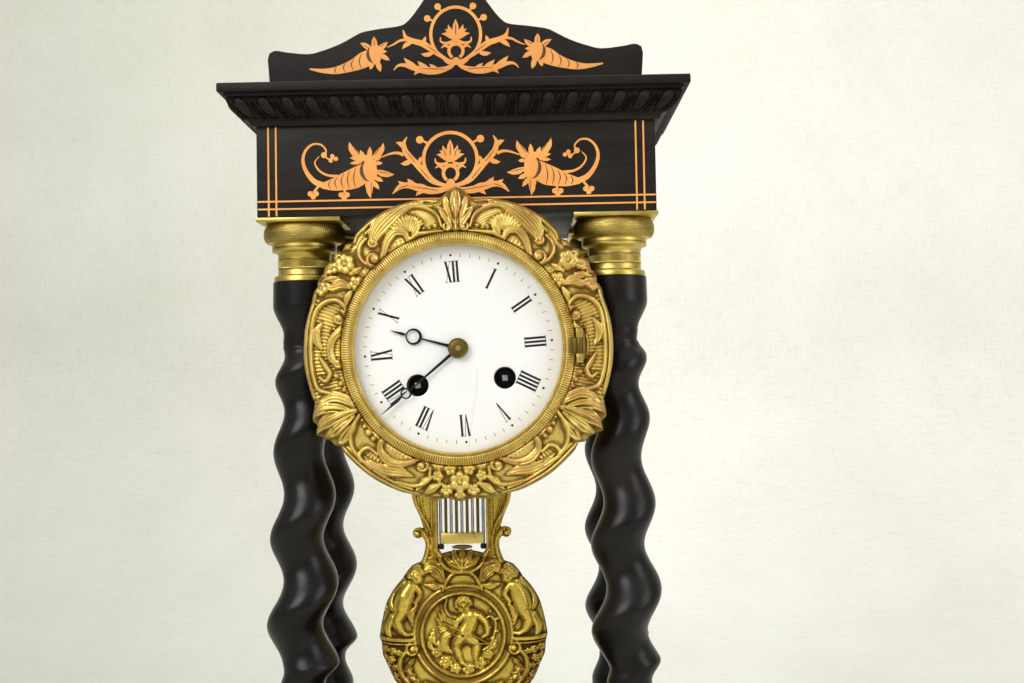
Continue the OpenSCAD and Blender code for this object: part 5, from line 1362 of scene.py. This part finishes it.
def frieze_inlay():
    """Palmette in a ring, branches, and a horn of plenty on each side."""
    middle_at = (-2.7, FRIEZE_LOW[2] + 27.6)
    v, burnt = Veneer(FRIEZE_HIGH[1], *middle_at), Veneer(FRIEZE_HIGH[1] - BURN_DEPTH, *middle_at)
    v.ring(0, 13.4, 13.4, 1.7, 5)
    # palmette inside the ring
    v.leaves((0, 1.5), (0.01, 9.8), 3.2)
    v.leaves((0.6, 0.5), (3.7, 7.0), 2.3, -0.06)
    v.leaves((0.8, -1.0), (7.0, 2.4), 2.4, 0.10)
    v.leaves((1.0, -0.2), (5.4, 4.6), 2.0, 0.04)
    v.pair([(1.2, -2.0), (4.6, -2.6), (7.2, -1.6), (7.6, 0.6)], [1.8, 1.5, 0.5])
    v.pair([(3.3, -5.0), (5.6, -3.4), (7.7, -4.4)], [1.6, 1.4, 0.4])
    v.ribbon(v.spots([(0, -1.5), (0, 2.5)]), [3.4, 2.4])
    v.open_loop(-7.1, 3.6, 3.9, [1.6, 1.9, 1.6])
    v.disc(v.spots([(0, -12.0)])[0], 2.1)
    v.pair([(0, -12.6), (3.0, -13.2), (5.8, -12.0)], [1.9, 1.6, 0.4])
    v.berries((15.2, 10.0), 1.9, ((11.2, 8.2), (14.4, 9.7)), [1.2, 0.9])
    # branch with its leaves
    v.pair([(3.5, -13.4), (9.4, -10.8), (14.1, -5.4), (17.5, -1.6), (20.4, 1.4), (22.6, 4.6), (23.2, 8.4),
            (21.6, 11.6)], [1.2, 2.2, 3.0, 3.4, 3.0, 3.2, 2.4, 0.4])
    v.leaves((22.2, 5.6), (27.2, 9.0), 2.4, 0.08)
    v.leaves((19.6, -0.2), (25.0, -1.8), 2.4, -0.10)
    v.leaves((16.0, -2.4), (14.6, 1.6), 1.8)
    v.pair([(23.4, 2.6), (26.6, 3.6), (30.2, 3.2), (34.6, 1.6)], [1.8, 1.3, 1.0, 0.5])
    # bottom leaf
    v.pair([(0, -13.8), (5.2, -15.6), (10.8, -15.6), (16.4, -14.0), (21.5, -12.8), (25.6, -13.6),
            (29.2, -16.9)], [2.2, 2.8, 3.6, 4.0, 3.2, 2.6, 0.4])
    v.leaves((17.0, -13.8), (21.6, -9.4), 2.6, -0.06)
    v.leaves((11.0, -15.0), (15.6, -12.0), 2.2, -0.06)
    v.leaves((21.6, -13.0), (26.4, -10.6), 2.0, -0.06)
    v.leaves((13.0, -15.8), (17.6, -18.2), 1.8, 0.1)
    # horn of plenty
    v.horns([(41.0, -1.0), (45.1, -1.9), (49.8, -3.9), (54.2, -6.0), (58.6, -8.4), (64.0, -10.6)],
            [(64.6, -13.6), (57.9, -14.8), (48.5, -14.1), (44.6, -12.6), (41.4, -10.4)],
            (41.2, -5.4, 3.4, 5.6))
    v.pair([(63.6, -12.2), (68.6, -9.8), (72.5, -4.7), (74.0, 0.7), (72.6, 5.6), (69.2, 8.6), (65.2, 8.6),
            (62.6, 6.2), (62.4, 4.0)], [3.0, 2.6, 2.1, 1.7, 1.4, 1.1, 0.9, 0.8])
    for centre, radius in (((63.4, 3.2), 1.5), ((60.0, 0.4), 1.1), ((57.4, 1.2), 1.1), ((59.2, 2.6), 1.1)):
        v.berries(centre, radius)
    v.pair([(62.8, 2.4), (61.0, 1.2), (58.4, 1.4)], [0.8, 0.7])
    v.pair([(56.4, -7.6), (61.6, -7.0), (65.8, -4.6), (68.0, -0.6), (65.8, 2.6)], [1.5, 1.2, 1.0, 0.8, 0.4])
    for leaf in (((45.1, 1.6), (50.6, 9.6), 3.2, -0.10), ((38.6, 1.4), (33.4, 8.8), 3.2, 0.10),
                 ((37.2, -5.4), (28.2, -7.2), 3.0, 0.06), ((39.6, -9.6), (40.2, -18.9), 3.2, 0.08),
                 ((43.2, 0.8), (45.2, 5.4), 2.2), ((44.8, 0.2), (50.4, 1.6), 2.2, 0.05),
                 ((45.0, -0.8), (50.4, -1.2), 1.8), ((40.6, 1.0), (40.2, 7.0), 2.4),
                 ((38.0, 0.2), (34.4, 2.3), 2.0), ((37.6, -1.4), (34.0, -1.4), 1.8),
                 ((38.0, -8.6), (33.8, -10.5), 2.2), ((39.2, -10.2), (35.8, -14.6), 2.2),
                 ((41.6, -10.4), (42.2, -14.4), 2.0)):
        v.leaves(*leaf)
    v.pair([(38.6, 0.6), (43.8, 1.2), (45.6, -1.0)], [3.0, 3.4, 1.6])
    v.pair([(38.2, -9.8), (38.0, -5.0), (38.8, 0.4)], [2.6, 2.2, 2.8])
    v.trefoil((53.0, -14.4), (53.5, -16.4))
    v.trefoil((66.4, -12.6), (69.0, -15.6))
    burnt.pair([(43.4, -0.9), (44.6, -3.4), (44.4, -6.6), (42.6, -9.6), (40.6, -10.4)],
               [0.2, 1.5, 1.9, 1.3, 0.2], 0.02)
    burnt.burnt_lines(
        [(x, slant, float(np.interp(x, [45, 50, 54, 58.6, 64], [-2.4, -4.4, -6.4, -8.9, -11.2])), -13.9)
         for x, slant in ((47.6, 1.0), (50.6, 1.2), (53.6, 1.3), (56.8, 1.3), (60.0, 1.2))],
        (((45.6, 3.0), (49.4, 8.0)), ((38.0, 2.6), (34.4, 7.6)), ((36.4, -5.6), (30.0, -6.9)),
         ((39.8, -11.0), (40.0, -17.2)), ((17.6, -1.4), (22.4, 4.6)), ((6.6, -15.6), (20.0, -13.4)),
         ((10.6, -10.0), (15.4, -4.2)), ((21.6, -12.8), (26.6, -14.4)), ((2.2, 1.6), (3.4, 5.4)),
         ((0.02, 2.0), (0.02, 8.0))), 0.05)
    v.made("frieze_marquetry_inlay", INLAY, "frieze_marquetry")
    burnt.made("frieze_marquetry_shading", BURNT)


def crest_inlay():
    """The frieze's pattern again, drawn together to fit the crest."""
    middle_at = (0.5, CREST_LOW[2] + 2.5)
    v, burnt = Veneer(CREST_LOW[1], *middle_at), Veneer(CREST_LOW[1] - BURN_DEPTH, *middle_at)
    v.ring(26, 12.7, 14.0, 1.6, 7)
    # palmette inside the ring
    v.leaves((0, 25), (0.01, 33.8), 3.0)
    v.leaves((0.8, 25), (3.8, 31.0), 2.1, -0.06)
    v.leaves((0.8, 23.4), (7.2, 26.4), 2.2, 0.10)
    v.leaves((0.8, 24.4), (5.6, 28.8), 1.9, 0.04)
    v.pair([(1.2, 22.4), (4.8, 21.4), (7.6, 22.4), (7.8, 24.6)], [1.7, 1.4, 0.5])
    v.pair([(3.3, 19.2), (5.6, 20.2), (7.6, 19.0)], [1.5, 1.3, 0.4])
    v.ribbon(v.spots([(0, 22), (0, 26.5)]), [3.2, 2.4])
    v.open_loop(17.4, 3.6, 3.7, [1.5, 1.8, 1.5])
    v.disc(v.spots([(0, 12.2)])[0], 2.0)
    v.pair([(0, 11.8), (3.4, 11.2), (6.4, 12.8)], [1.8, 1.6, 0.4])
    for centre, root in (((14.4, 34.4), (11.2, 33.0)), ((9.0, 40.4), (7.2, 38.0))):
        v.berries(centre, 1.7, (root, centre), [1.0, 0.8])
    # branches with their leaves
    v.pair([(3.5, 12.4), (8.0, 15.2), (12.6, 18.6), (16.8, 21.4), (21.7, 22.9), (25.4, 24.8), (26.9, 28.8)],
           [1.2, 2.0, 2.8, 3.2, 2.8, 2.4, 0.4])
    v.leaves((21.8, 22.8), (27.5, 18.8), 2.3, 0.08)
    v.leaves((12.0, 16.4), (17.8, 16.2), 2.2, -0.08)
    v.leaves((16.6, 21.6), (15.4, 25.2), 1.7)
    v.pair([(25.0, 23.8), (28.6, 23.2), (31.8, 21.4), (35.0, 20.0)], [1.6, 1.2, 0.9, 0.5])
    v.pair([(0.8, 11.2), (3.6, 9.0), (9.4, 7.4), (15.4, 7.6), (21.4, 9.0), (26.4, 10.6), (29.6, 10.4),
            (31.9, 8.2)], [1.8, 2.4, 3.4, 3.8, 3.2, 2.4, 1.6, 0.4])
    v.leaves((20.4, 9.6), (26.6, 14.4), 2.4, -0.06)
    v.leaves((14.2, 8.6), (19.6, 12.6), 2.3, -0.06)
    v.leaves((9.4, 8.2), (13.6, 11.0), 1.9, -0.06)
    v.leaves((17.0, 8.0), (21.6, 5.4), 1.7, 0.1)
    # horn of plenty
    v.horns([(41.4, 21.0), (45.2, 18.9), (49.1, 17.2), (53.6, 13.9), (60.2, 10.9), (66.7, 9.6),
             (74.8, 9.9)], [(74.8, 9.2), (68.6, 7.5), (61.5, 6.7), (53.6, 7.8), (47.1, 9.4), (42.2, 11.6)],
            (41.8, 16.2, 3.2, 5.0))
    for leaf in (((43.4, 18.8), (48.8, 22.4), 2.6, 0.05), ((41.4, 19.8), (41.8, 25.6), 2.8),
                 ((39.8, 19.2), (34.9, 22.8), 2.6, 0.06), ((39.2, 16.6), (33.8, 13.2), 2.4),
                 ((40.2, 12.8), (38.6, 7.4), 2.6), ((42.6, 12.0), (44.0, 8.7), 2.2),
                 ((39.4, 18.0), (35.2, 17.8), 1.9)):
        v.leaves(*leaf)
    v.pair([(40.0, 12.6), (39.2, 16.4), (40.4, 20.0), (43.4, 20.0)], [2.4, 2.2, 2.6, 1.6])
    burnt.pair([(44.0, 20.2), (45.0, 17.6), (44.4, 14.2), (42.2, 11.8)], [0.2, 1.6, 1.7, 0.2], 0.02)
    burnt.burnt_lines(
        [(x, slant, float(np.interp(x, [45, 49, 53.6, 60.2], [18.6, 16.8, 13.6, 10.7])),
          float(np.interp(x, [42, 47, 53.6, 61.5], [11.6, 9.7, 8.0, 7.0])))
         for x, slant in ((48.2, 1.2), (52.2, 1.3), (56.4, 1.2), (61.0, 1.0))],
        (((44.4, 19.6), (47.6, 21.6)), ((38.8, 20.2), (36.0, 22.2)), ((9.6, 16.6), (15.4, 20.8)),
         ((6.0, 8.2), (18.6, 8.6)), ((41.6, 20.8), (41.8, 24.2)), ((0.02, 26), (0.02, 32))))
    v.made("crest_marquetry_inlay", INLAY, "crest_marquetry")
    burnt.made("crest_marquetry_shading", BURNT)


def stringing():
    """Light lines up the sides and along the foot of the frieze."""
    v = Veneer(FRIEZE_HIGH[1])
    line, half = 0.42, (FRIEZE_HIGH[0] - FRIEZE_LOW[0]) / 2
    low, high = FRIEZE_LOW[2], FRIEZE_HIGH[2] - 0.3
    for up in (4.0, 7.85):
        v.plate([(-half + 0.3, low + up - line), (half - 0.3, low + up - line), (half - 0.3, low + up + line),
                 (-half + 0.3, low + up + line)], 0.1)
    for side in (-1, 1):
        for inset in (5.9, 9.75):
            x = side * (half - inset)
            v.plate([(x - line, low + 0.4), (x + line, low + 0.4), (x + line, high), (x - line, high)], 0.1)
    v.made("frieze_stringing_inlay", INLAY, "frieze_stringing")


# ---- cornice ----

CORNICE_PROFILE = [(0.0, 0.0), (2.0, 0.0), (2.4, 0.5), (3.1, 2.0), (3.5, 2.5), (5.3, 2.9), (5.5, 3.1)]
EGG_PITCH = 11.3


def cornice():
    """Egg-and-dart ovolo under a plain fillet, mitred round the front and both sides."""
    base_z = span("cornice_moulding")[0][2]
    ovolo = np.linspace(0, 1, 34)
    rows = [(q, z, 0.0) for q, z in CORNICE_PROFILE]
    for t in ovolo:
        q = 5.8 + 6.6 * math.sin(t * math.pi / 2) ** 0.95
        rows.append((q, 3.2 + 9.7 * t, t + 1e-3))
    rows += [(12.9, 13.1, 0.0), (13.4, 13.4, 0.0), (13.4, 14.7, 0.0), (0.0, 14.7, 0.0)]
    half_w, front, back = 100.0, -60.0, 60.0
    sides = (
        ("cornice_front", (-half_w, front), (1, 0), (0, -1), 2 * half_w, 1, 1),
        ("cornice_left", (-half_w, back), (0, -1), (-1, 0), back - front, 0, 1),
        ("cornice_right", (half_w, front), (0, 1), (1, 0), back - front, 1, 0),
    )
    for name, origin, along, out, length, mitre0, mitre1 in sides:
        eggs = max(1, round((length + 9.8 * (mitre0 + mitre1)) / EGG_PITCH))
        columns = eggs * 18 + 1
        s = np.linspace(0, 1, columns)
        points, shade = [], []
        for q, z, t in rows:
            start, end = -q * mitre0, length + q * mitre1
            d = start + (end - start) * s
            bump = np.zeros(columns)
            dark = np.zeros(columns) + (0.7 if z in (2.5, 3.2, 13.1) else 0.15)
            if t > 0:
                u = (s * eggs) % 1.0 - 0.5
                rho = np.hypot(u / 0.28, (t - 0.56) / (0.56 if t < 0.56 else 0.46))
                egg = np.sqrt(np.clip(1 - rho**2, 0, 1)) * 2.6
                shell = np.exp(-(((rho - 1.36) / 0.16) ** 2)) * 1.4 * (t < 0.94)
                v = np.abs(np.abs(u) - 0.5)
                dart = np.clip(1 - v / (0.015 + 0.10 * t), 0, 1) * 1.7 * (t > 0.06)
                bump = np.maximum(np.maximum(egg, shell), dart) * np.clip((1.02 - t) * 12, 0, 1) - 1.3
                dark = np.clip(0.8 - 0.9 * np.maximum(np.maximum(egg / 2.3, shell / 1.2), dart / 1.6), 0, 1)
            r = q + bump
            x, y = (origin[i] + along[i] * d + out[i] * r for i in (0, 1))
            points += np.stack([x, y, np.full(columns, base_z + z)], -1).tolist()
            shade += dark.tolist()
        faces = grid_faces(len(rows), columns)
        faces.append([i * columns for i in range(len(rows))])
        faces.append([i * columns + columns - 1 for i in range(len(rows))][::-1])
        piece(name, points, [f[::-1] for f in faces], BLACK_X if name == "cornice_front" else BLACK_Y,
              stands_for="cornice_moulding", slot="ebonised_wood", smooth=42, values={"hollow": shade})


def crest():
    """Shaped board with a rounded outline, two brackets behind it."""
    c, h = (CREST_HIGH[0] - CREST_LOW[0]) / 2, CREST_HIGH[2] - CREST_LOW[2]
    shoulder = [(0.99, 0.355), (0.955, 0.38), (0.89, 0.362), (0.78, 0.345), (0.70, 0.375), (0.61, 0.43),
                (0.53, 0.50), (0.49, 0.53), (0.40, 0.556), (0.29, 0.58), (0.25, 0.62), (0.215, 0.685),
                (0.18, 0.765), (0.13, 0.88), (0.07, 0.97)]
    half = curve([(x * c, z * h) for x, z in shoulder] + [(0, h)], 4)
    half = np.vstack([[(0.985 * c, 0), (c * 0.998, 0.30 * h)], half])
    outline = np.vstack([half, [(-x, z) for x, z in half[-2::-1]]])
    y0, y1 = CREST_LOW[1], CREST_LOW[1] + 9.0
    bm = bmesh.new()
    rows = [[bm.verts.new((x, y, z + CREST_LOW[2])) for x, z in outline] for y in (y0, y1)]
    bm.faces.new(rows[0])
    bm.faces.new(rows[1][::-1])
    n = len(outline)
    for i in range(n):
        bm.faces.new((rows[0][i], rows[1][i], rows[1][(i + 1) % n], rows[0][(i + 1) % n]))
    bmesh.ops.recalc_face_normals(bm, faces=bm.faces)
    rounded(bm, [e for e in bm.edges if e.calc_face_angle(0) > 0.9], 0.7, 3)
    piece("crest_board", *taken(bm), BLACK_TOP_SHADED, stands_for="crest", slot="ebonised_wood", smooth=35)
    for side in (-1, 1):
        box_piece(f"crest_bracket_{'right' if side > 0 else 'left'}", (side * 62 - 7, y1 - 0.1, CREST_LOW[2]),
                  (side * 62 + 7, CREST_HIGH[1], CREST_LOW[2] + 12), 0.6, BLACK_Y, slot="ebonised_wood")


# ---- columns and their mounts ----

TWIST_PITCH = 44.0
TWIST_ZERO = 251.5  # height at which a shaft's phase is measured
TIGHTER_FROM, TIGHTER = 262, 0.075  # above this height the turns draw together
NECK_R = 16.0
TWIST_INNER = 10.1
PHASES = {"front_left": 144, "front_right": 180, "back_left": 150, "back_right": 170}


def twisted_shaft(name, phase):
    """The same turning as the CAD shaft, finely divided."""
    side_x = -1 if "left" in name else 1
    side_y = -1 if "front" in name else 1
    rows, sides = 300, 56
    z = np.linspace(SHAFT_LOW, SHAFT_HIGH, rows + 1)
    waist0, waist1 = SHAFT_LOW + 26, SHAFT_HIGH - 27

    def smooth(t):
        t = np.clip(t, 0, 1)
        return t * t * (3 - 2 * t)

    def blend(a, b, t):
        return a + (b - a) * t

    fade = smooth((z - waist0) / 12) * smooth((waist1 - z) / 12)
    lift = blend(4.3, 2.3, smooth((z - waist0) / (waist1 - waist0) * 1.05)) * fade
    core = np.where(z > waist1 - 6, blend(10.6, NECK_R, smooth((z - waist1) / 15)),
                    blend(11.4, NECK_R, smooth((waist0 - z) / 14)))
    radius = blend(core, TWIST_INNER + lift, fade)
    tighter = TIGHTER * np.maximum(0, z - TIGHTER_FROM) ** 2
    turn = np.radians(360 * (z - TWIST_ZERO) / TWIST_PITCH + tighter + phase)
    a = np.linspace(0, TAU, sides, endpoint=False)[None, :]
    x = (side_x * column_x(z) + lift * np.cos(turn))[:, None] + radius[:, None] * np.cos(a)
    y = side_y * COLUMN_Y + (lift * np.sin(turn))[:, None] + radius[:, None] * np.sin(a)
    points = np.stack([x, y, z[:, None] + 0 * a], -1).reshape(-1, 3)
    faces = grid_faces(rows + 1, sides, True)
    faces.append(list(range(sides))[::-1])
    faces.append(list(range(rows * sides, (rows + 1) * sides)))
    piece("shaft_" + name, points, faces, BLACK_Z, stands_for="column_" + name, slot="ebonised_wood",
          smooth=50)


def mount_profile():
    """Turned mount from its narrow end up to the square plate: (radius, height, knurl)."""
    out = [(3.2, 0, 0), (15.2, 0, 0), (15.6, 0.3, 0), (15.6, 2.7, 0), (15.3, 3.0, 0), (13.9, 3.3, 0),
           (13.6, 3.7, 0)]
    out += [(13.6, 6.2, 0), (13.3, 6.4, 0), (13.3, 6.7, 0), (13.7, 6.9, 0)]
    out += [(13.75, 6.9 + k * 0.35, 1) for k in range(1, 12)]
    out += [(13.7, 11.1, 0), (13.3, 11.3, 0), (13.3, 11.6, 0), (13.6, 11.8, 0), (13.6, 14.4, 0),
            (14.2, 15.0, 0), (16.2, 15.5, 0), (16.6, 15.9, 0), (16.6, 17.0, 0), (16.1, 17.2, 0),
            (16.1, 17.5, 0), (16.6, 17.7, 0), (16.6, 19.2, 0), (17.4, 19.5, 0), (18.4, 19.9, 0)]
    for k in range(31):
        t = -math.pi * 0.42 + k / 30 * math.pi * 0.84
        out.append((18.15 + 2.75 * math.cos(t), 24.6 + 4.6 * math.sin(t) / math.sin(math.pi * 0.42), 2))
    out += [(18.4, 29.5, 0), (3.2, 29.5, 0)]
    return out


def mount(name, x, y, z, flip, node):
    """Brass mount with a knurled torus; flip turns it over for the foot of a column."""
    rows = mount_profile()
    columns = 420
    a = np.linspace(0, TAU, columns, endpoint=False)
    points, hollow = [], []
    for r, h, knurl in rows:
        cut = np.zeros(columns)
        if knurl == 2:
            u, v = a * 52, (h - 20) * 2.5
            cut = 0.55 * (1 - np.sqrt(np.abs(np.sin(u + v)) * np.abs(np.sin(u - v))))
        elif knurl == 1:
            cut = 0.34 * (1 - np.abs(np.sin(a * 70)) * (0.5 + 0.5 * abs(math.sin(h * 4.5))))
        ring = r - cut
        level = z + (-h if flip else h)
        points.append(np.stack([x + ring * np.cos(a), y + ring * np.sin(a), np.full(columns, level)], -1))
        # These hollow values paint shade into the fillet grooves and the knurl cuts.
        groove = 0.75 if (r in (13.3, 16.1) and knurl == 0) else 0.12
        hollow.append(np.clip(groove + cut * 2.2, 0, 1))
    points.append(points[0])
    hollow.append(hollow[0])
    faces = grid_faces(len(points), columns, True)
    if flip:
        faces = [f[::-1] for f in faces]
    piece(name, np.vstack(points), faces, BRASS, stands_for=node, slot="turned_brass", smooth=48,
          values={"hollow": np.vstack(hollow)})
    low, high = (z - MOUNT_HIGH, z - 29.5) if flip else (z + 29.5, z + MOUNT_HIGH)
    box_piece(name + "_plate", (x - 21.2, y - 21.2, low), (x + 21.2, y + 21.2, high), 0.3, BRASS)


def four_columns():
    for name, phase in PHASES.items():
        twisted_shaft(name, phase)
        side = -1 if "left" in name else 1
        y = (-1 if "front" in name else 1) * COLUMN_Y
        mount("capital_" + name, side * HEAD_X, y, SHAFT_HIGH, False, "capitals")
        mount("column_base_" + name, side * FOOT_X, y, SHAFT_LOW, True, "column_bases")


# ---- base ----


def base_marks():
    """Inlaid frame and scroll on the front of the base, which is not in view in front."""
    low, high = span("base_inlay")
    v = Veneer(high[1])
    half, z0, z1, w = high[0], low[2], high[2], 0.8
    for a, b in (((-half, z0), (half, z0 + w)), ((-half, z1 - w), (half, z1)), ((-half, z0), (-half + w, z1)),
                 ((half - w, z0), (half, z1))):
        v.plate([(a[0], a[1]), (b[0], a[1]), (b[0], b[1]), (a[0], b[1])], 0.1)
    mid = (z0 + z1) / 2
    v.ring(mid, 6.0, 6.0, 0.9)
    for s in (1, -1):
        v.leaf((s * 0.2, mid - 2.5), (s * 0.5, mid + 4.6), 2.0)
        v.leaf((s * 0.6, mid - 2.5), (s * 3.6, mid + 2.6), 1.6)
        v.ribbon([(s * 6.6, mid - 2), (s * 14, mid + 3.2), (s * 22, mid - 1.5), (s * 30, mid - 3.2),
                  (s * 38, mid + 1.2), (s * 44, mid + 3.4)], [1.0, 2.4, 1.8, 2.2, 1.5, 0.3])
        v.ribbon([(s * 14, mid + 2), (s * 18, mid + 4.4), (s * 23, mid + 3.6)], [1.6, 1.3, 0.3])
        v.ribbon([(s * 26, mid - 2.4), (s * 30, mid + 0.8), (s * 34, mid + 3.6)], [1.4, 1.6, 0.3])
        v.disc((s * 46.5, mid + 3.6), 1.0)
    v.made("base_inlay_veneer", INLAY, "base_inlay")


def base():
    for node, bevel in (("base_plinth", 0.8), ("base_moulding", 0.25), ("base_block", 0.5),
                        ("base_top_board", 0.6)):
        refined(node, BLACK_X, bevel=bevel)
    corner = span("feet")[1]
    profile = [(0.02, 0), (10.6, 0), (11.4, 0.4), (12.8, 1.7), (13.9, 3.2), (14.5, 5.0), (14.6, 6.2),
               (14.2, 7.8), (13.2, 9.0), (11.6, 9.7), (10.3, 10.3), (10, 10.8), (10, 12), (0.02, 12)]
    for sx in (-1, 1):
        for sy in (-1, 1):
            centre = (sx * (corner[0] - 14.6), sy * (corner[1] - 14.6))
            name = f"foot_{'back' if sy > 0 else 'front'}_{'right' if sx > 0 else 'left'}"
            piece(name, *lathe_z(profile, centre, 72), BLACK_Z, stands_for="feet", slot="ebonised_wood",
                  smooth=50)
    base_marks()


# ---- building ----

SHOWN_AS_MADE = {"tie_rods": STEEL, "tie_nuts": STEEL, "saddle_screws": STEEL, "pallets_crutch": STEEL,
                 "pendulum_rod": STEEL, "fly": STEEL, "bell_stand": STEEL, "hammer": STEEL}


def winding_square(node, body):
    """A steel square on its arbor; the arbor's collar behind the dial is near-black blued steel, painted
    shade inside the winding hole.
    """
    obj = refined(node, STEEL, body, 0.06)
    obj.data.materials.append(BLUED)
    x, _, z = middle(node) * MM
    spots = [v.co for v in obj.data.vertices]
    for face in obj.data.polygons:
        reach = max(math.hypot(spots[i].x - x, spots[i].z - z) for i in face.vertices)
        # Faces farther than 3.2 mm from the axis take the near-black blued steel: painted shade in the
        # winding hole.
        face.material_index = int(reach > 3.2 * MM)


def build():
    winding_square("time_winding_arbor", "time_square")
    winding_square("strike_winding_arbor", "strike_square")
    base()
    four_columns()
    refined("frieze_box", BLACK_X, bevel=0.45)
    cornice()
    refined("top_board", BLACK_TOP_SHADED, bevel=0.7)
    crest()
    stringing()
    frieze_inlay()
    crest_inlay()
    refined("saddle_block", BLACK_X)
    refined("drum", BRASS, bevel=0.15)
    surround()
    dial_plate()
    dial_marks()
    glazed_ring()
    dial_glass()
    hands()
    refined("back_door", BRASS, "rear_door", 0.2)
    for node, body, bevel in (("bell", "case", 0.15), ("hinge_pins", "case", 0.1),
                              ("rating_nut", "rating_nut", 0.15)):
        refined(node, BRASS, body, bevel)
    bob_disc()
    bracket()
    gridiron()
    for name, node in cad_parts.items():
        if node.hide_render:
            continue
        node.data.materials.clear()
        node.data.materials.append(SHOWN_AS_MADE.get(name, BRASS_DULL))


# ---- studio ----

CAMERA = (33.8, -749.0, 284.0)
YAW, PITCH, ROLL = 0.6, 2.21, 1.0
FOCAL_SHARE = 1383.9 / 1024
SENSOR = 36.0


def camera():
    """The camera of the main view: a little to the right, close to level and slightly rolled."""
    data = bpy.data.cameras.new("camera")
    data.sensor_width = SENSOR
    data.lens = SENSOR * FOCAL_SHARE
    data.clip_start, data.clip_end = 0.05, 20
    obj = bpy.data.objects.new("camera", data)
    bpy.context.collection.objects.link(obj)
    yaw, pitch, roll = (math.radians(v) for v in (YAW, PITCH, ROLL))
    turned = Matrix.Rotation(yaw, 3, "Z") @ Matrix.Rotation(pitch, 3, "X") @ Matrix.Rotation(roll, 3, "Y")
    right, forward, up = turned.col
    face = Matrix((right, up, -forward)).transposed().to_4x4()
    obj.matrix_world = Matrix.Translation(Vector(CAMERA) * MM) @ face
    bpy.context.scene.camera = obj


def area(name, place, target, size, power, colour=(1, 1, 1)):
    light = bpy.data.lights.new(name, "AREA")
    light.shape = "RECTANGLE"
    light.size, light.size_y = size
    light.energy = power
    light.color = colour
    obj = bpy.data.objects.new(name, light)
    bpy.context.collection.objects.link(obj)
    obj.location = place
    obj.rotation_euler = (Vector(target) - Vector(place)).to_track_quat("-Z", "Y").to_euler()


def studio():
    """Pale floor that sweeps up into a wall, painted lighter behind the clock as a pool of light, broad
    lights in front and a soft fill all round.
    """
    g = Graph("pale_sweep")
    weave = g.noise(9, 4, 0.55)
    cloth = g.ramp(weave, (0.3, (0.79, 0.78, 0.715)), (0.7, (0.845, 0.835, 0.775)))
    threads = g.maths("ADD", g.noise(520, 2, 0.6, g.stretched((1.0, 1.0, 0.12))),
                      g.noise(520, 2, 0.6, g.stretched((0.12, 1.0, 1.0))))
    cloth = g.mix(0.85, cloth, g.ramp(threads, (0.75, (0.90, 0.90, 0.89)), (1.25, (1.0, 1.0, 1.0))),
                  "MULTIPLY")
    split = g.add("ShaderNodeSeparateXYZ")
    g.feed(split.inputs[0], g.place)
    # Painted light: lightest just right of the middle, behind the clock, and darker to the left.
    across = g.ramp(g.maths("ADD", split.outputs[0], 0.5), (0.0, (0.74, 0.755, 0.73)),
                    (0.30, (0.82, 0.825, 0.80)), (0.58, (0.98, 0.98, 0.97)), (0.72, (1.0, 0.998, 0.985)),
                    (0.95, (0.95, 0.945, 0.94)))
    # Painted light: lightest up the wall behind the clock, darker on the floor and towards the top.
    height = g.ramp(split.outputs[2], (0.0, (0.84, 0.85, 0.86)), (0.25, (0.97, 0.97, 0.97)),
                    (0.55, (1.0, 1.0, 1.0)), (0.8, (0.88, 0.88, 0.86)))
    g.set(Base_Color=g.mix(1.0, g.mix(1.0, cloth, across, "MULTIPLY"), height, "MULTIPLY"), Roughness=0.95)
    g.bump(threads, 0.12, 0.4)
    g.open_behind()
    a = np.linspace(0, math.pi / 2, 17)
    bend = 0.35
    bow = [(0.55 + bend * math.sin(t), bend - bend * math.cos(t)) for t in a]
    rows = [(-4.0, 0.0), *bow, (0.55 + bend, 3.4)]
    points = np.array([[(x, y, z) for x in (-5.0, 5.0)] for y, z in rows]).reshape(-1, 3)
    mesh = bpy.data.meshes.new("sweep")
    mesh.from_pydata(points.tolist(), [], grid_faces(len(rows), 2))
    mesh.materials.append(g.material)
    mesh.shade_smooth()
    sweep = bpy.data.objects.new("sweep", mesh)
    bpy.context.collection.objects.link(sweep)
    area("key", (-0.75, -1.15, 1.05), (0.0, 0.0, 0.3), (0.8, 0.8), 14, (1.0, 0.99, 0.965))
    area("fill", (1.15, -0.85, 0.75), (0.0, 0.0, 0.28), (0.7, 1.1), 7, (0.97, 0.985, 1.0))
    area("top", (0.0, -0.1, 1.6), (0.0, 0.0, 0.3), (1.2, 1.0), 7)
    area("wall", (0.3, 0.30, 1.5), (0.2, 0.9, 0.35), (2.4, 0.4), 8.5, (1.0, 0.99, 0.97))
    room()


def room():
    """Soft light from all round, darker near the floor. Past the floor the camera sees a plain pale tone."""
    world = bpy.data.worlds.new("soft_room")
    bpy.context.scene.world = world
    world.use_nodes = True
    nodes, link = world.node_tree.nodes, world.node_tree.links.new
    sky, seen = nodes["Background"], nodes.new("ShaderNodeBackground")
    height, ramp = nodes.new("ShaderNodeSeparateXYZ"), nodes.new("ShaderNodeValToRGB")
    link(nodes.new("ShaderNodeTexCoord").outputs["Generated"], height.inputs[0])
    link(height.outputs["Z"], ramp.inputs["Fac"])
    ramp.color_ramp.elements[0].color = (0.52, 0.51, 0.49, 1)
    ramp.color_ramp.elements[1].color = (0.80, 0.80, 0.80, 1)
    link(ramp.outputs["Color"], sky.inputs["Color"])
    sky.inputs["Strength"].default_value = 0.82
    seen.inputs["Color"].default_value = (0.68, 0.68, 0.63, 1)
    either = nodes.new("ShaderNodeMixShader")
    link(nodes.new("ShaderNodeLightPath").outputs["Is Camera Ray"], either.inputs[0])
    link(sky.outputs[0], either.inputs[1])
    link(seen.outputs[0], either.inputs[2])
    link(either.outputs[0], nodes["World Output"].inputs["Surface"])


camera()
build()
studio()
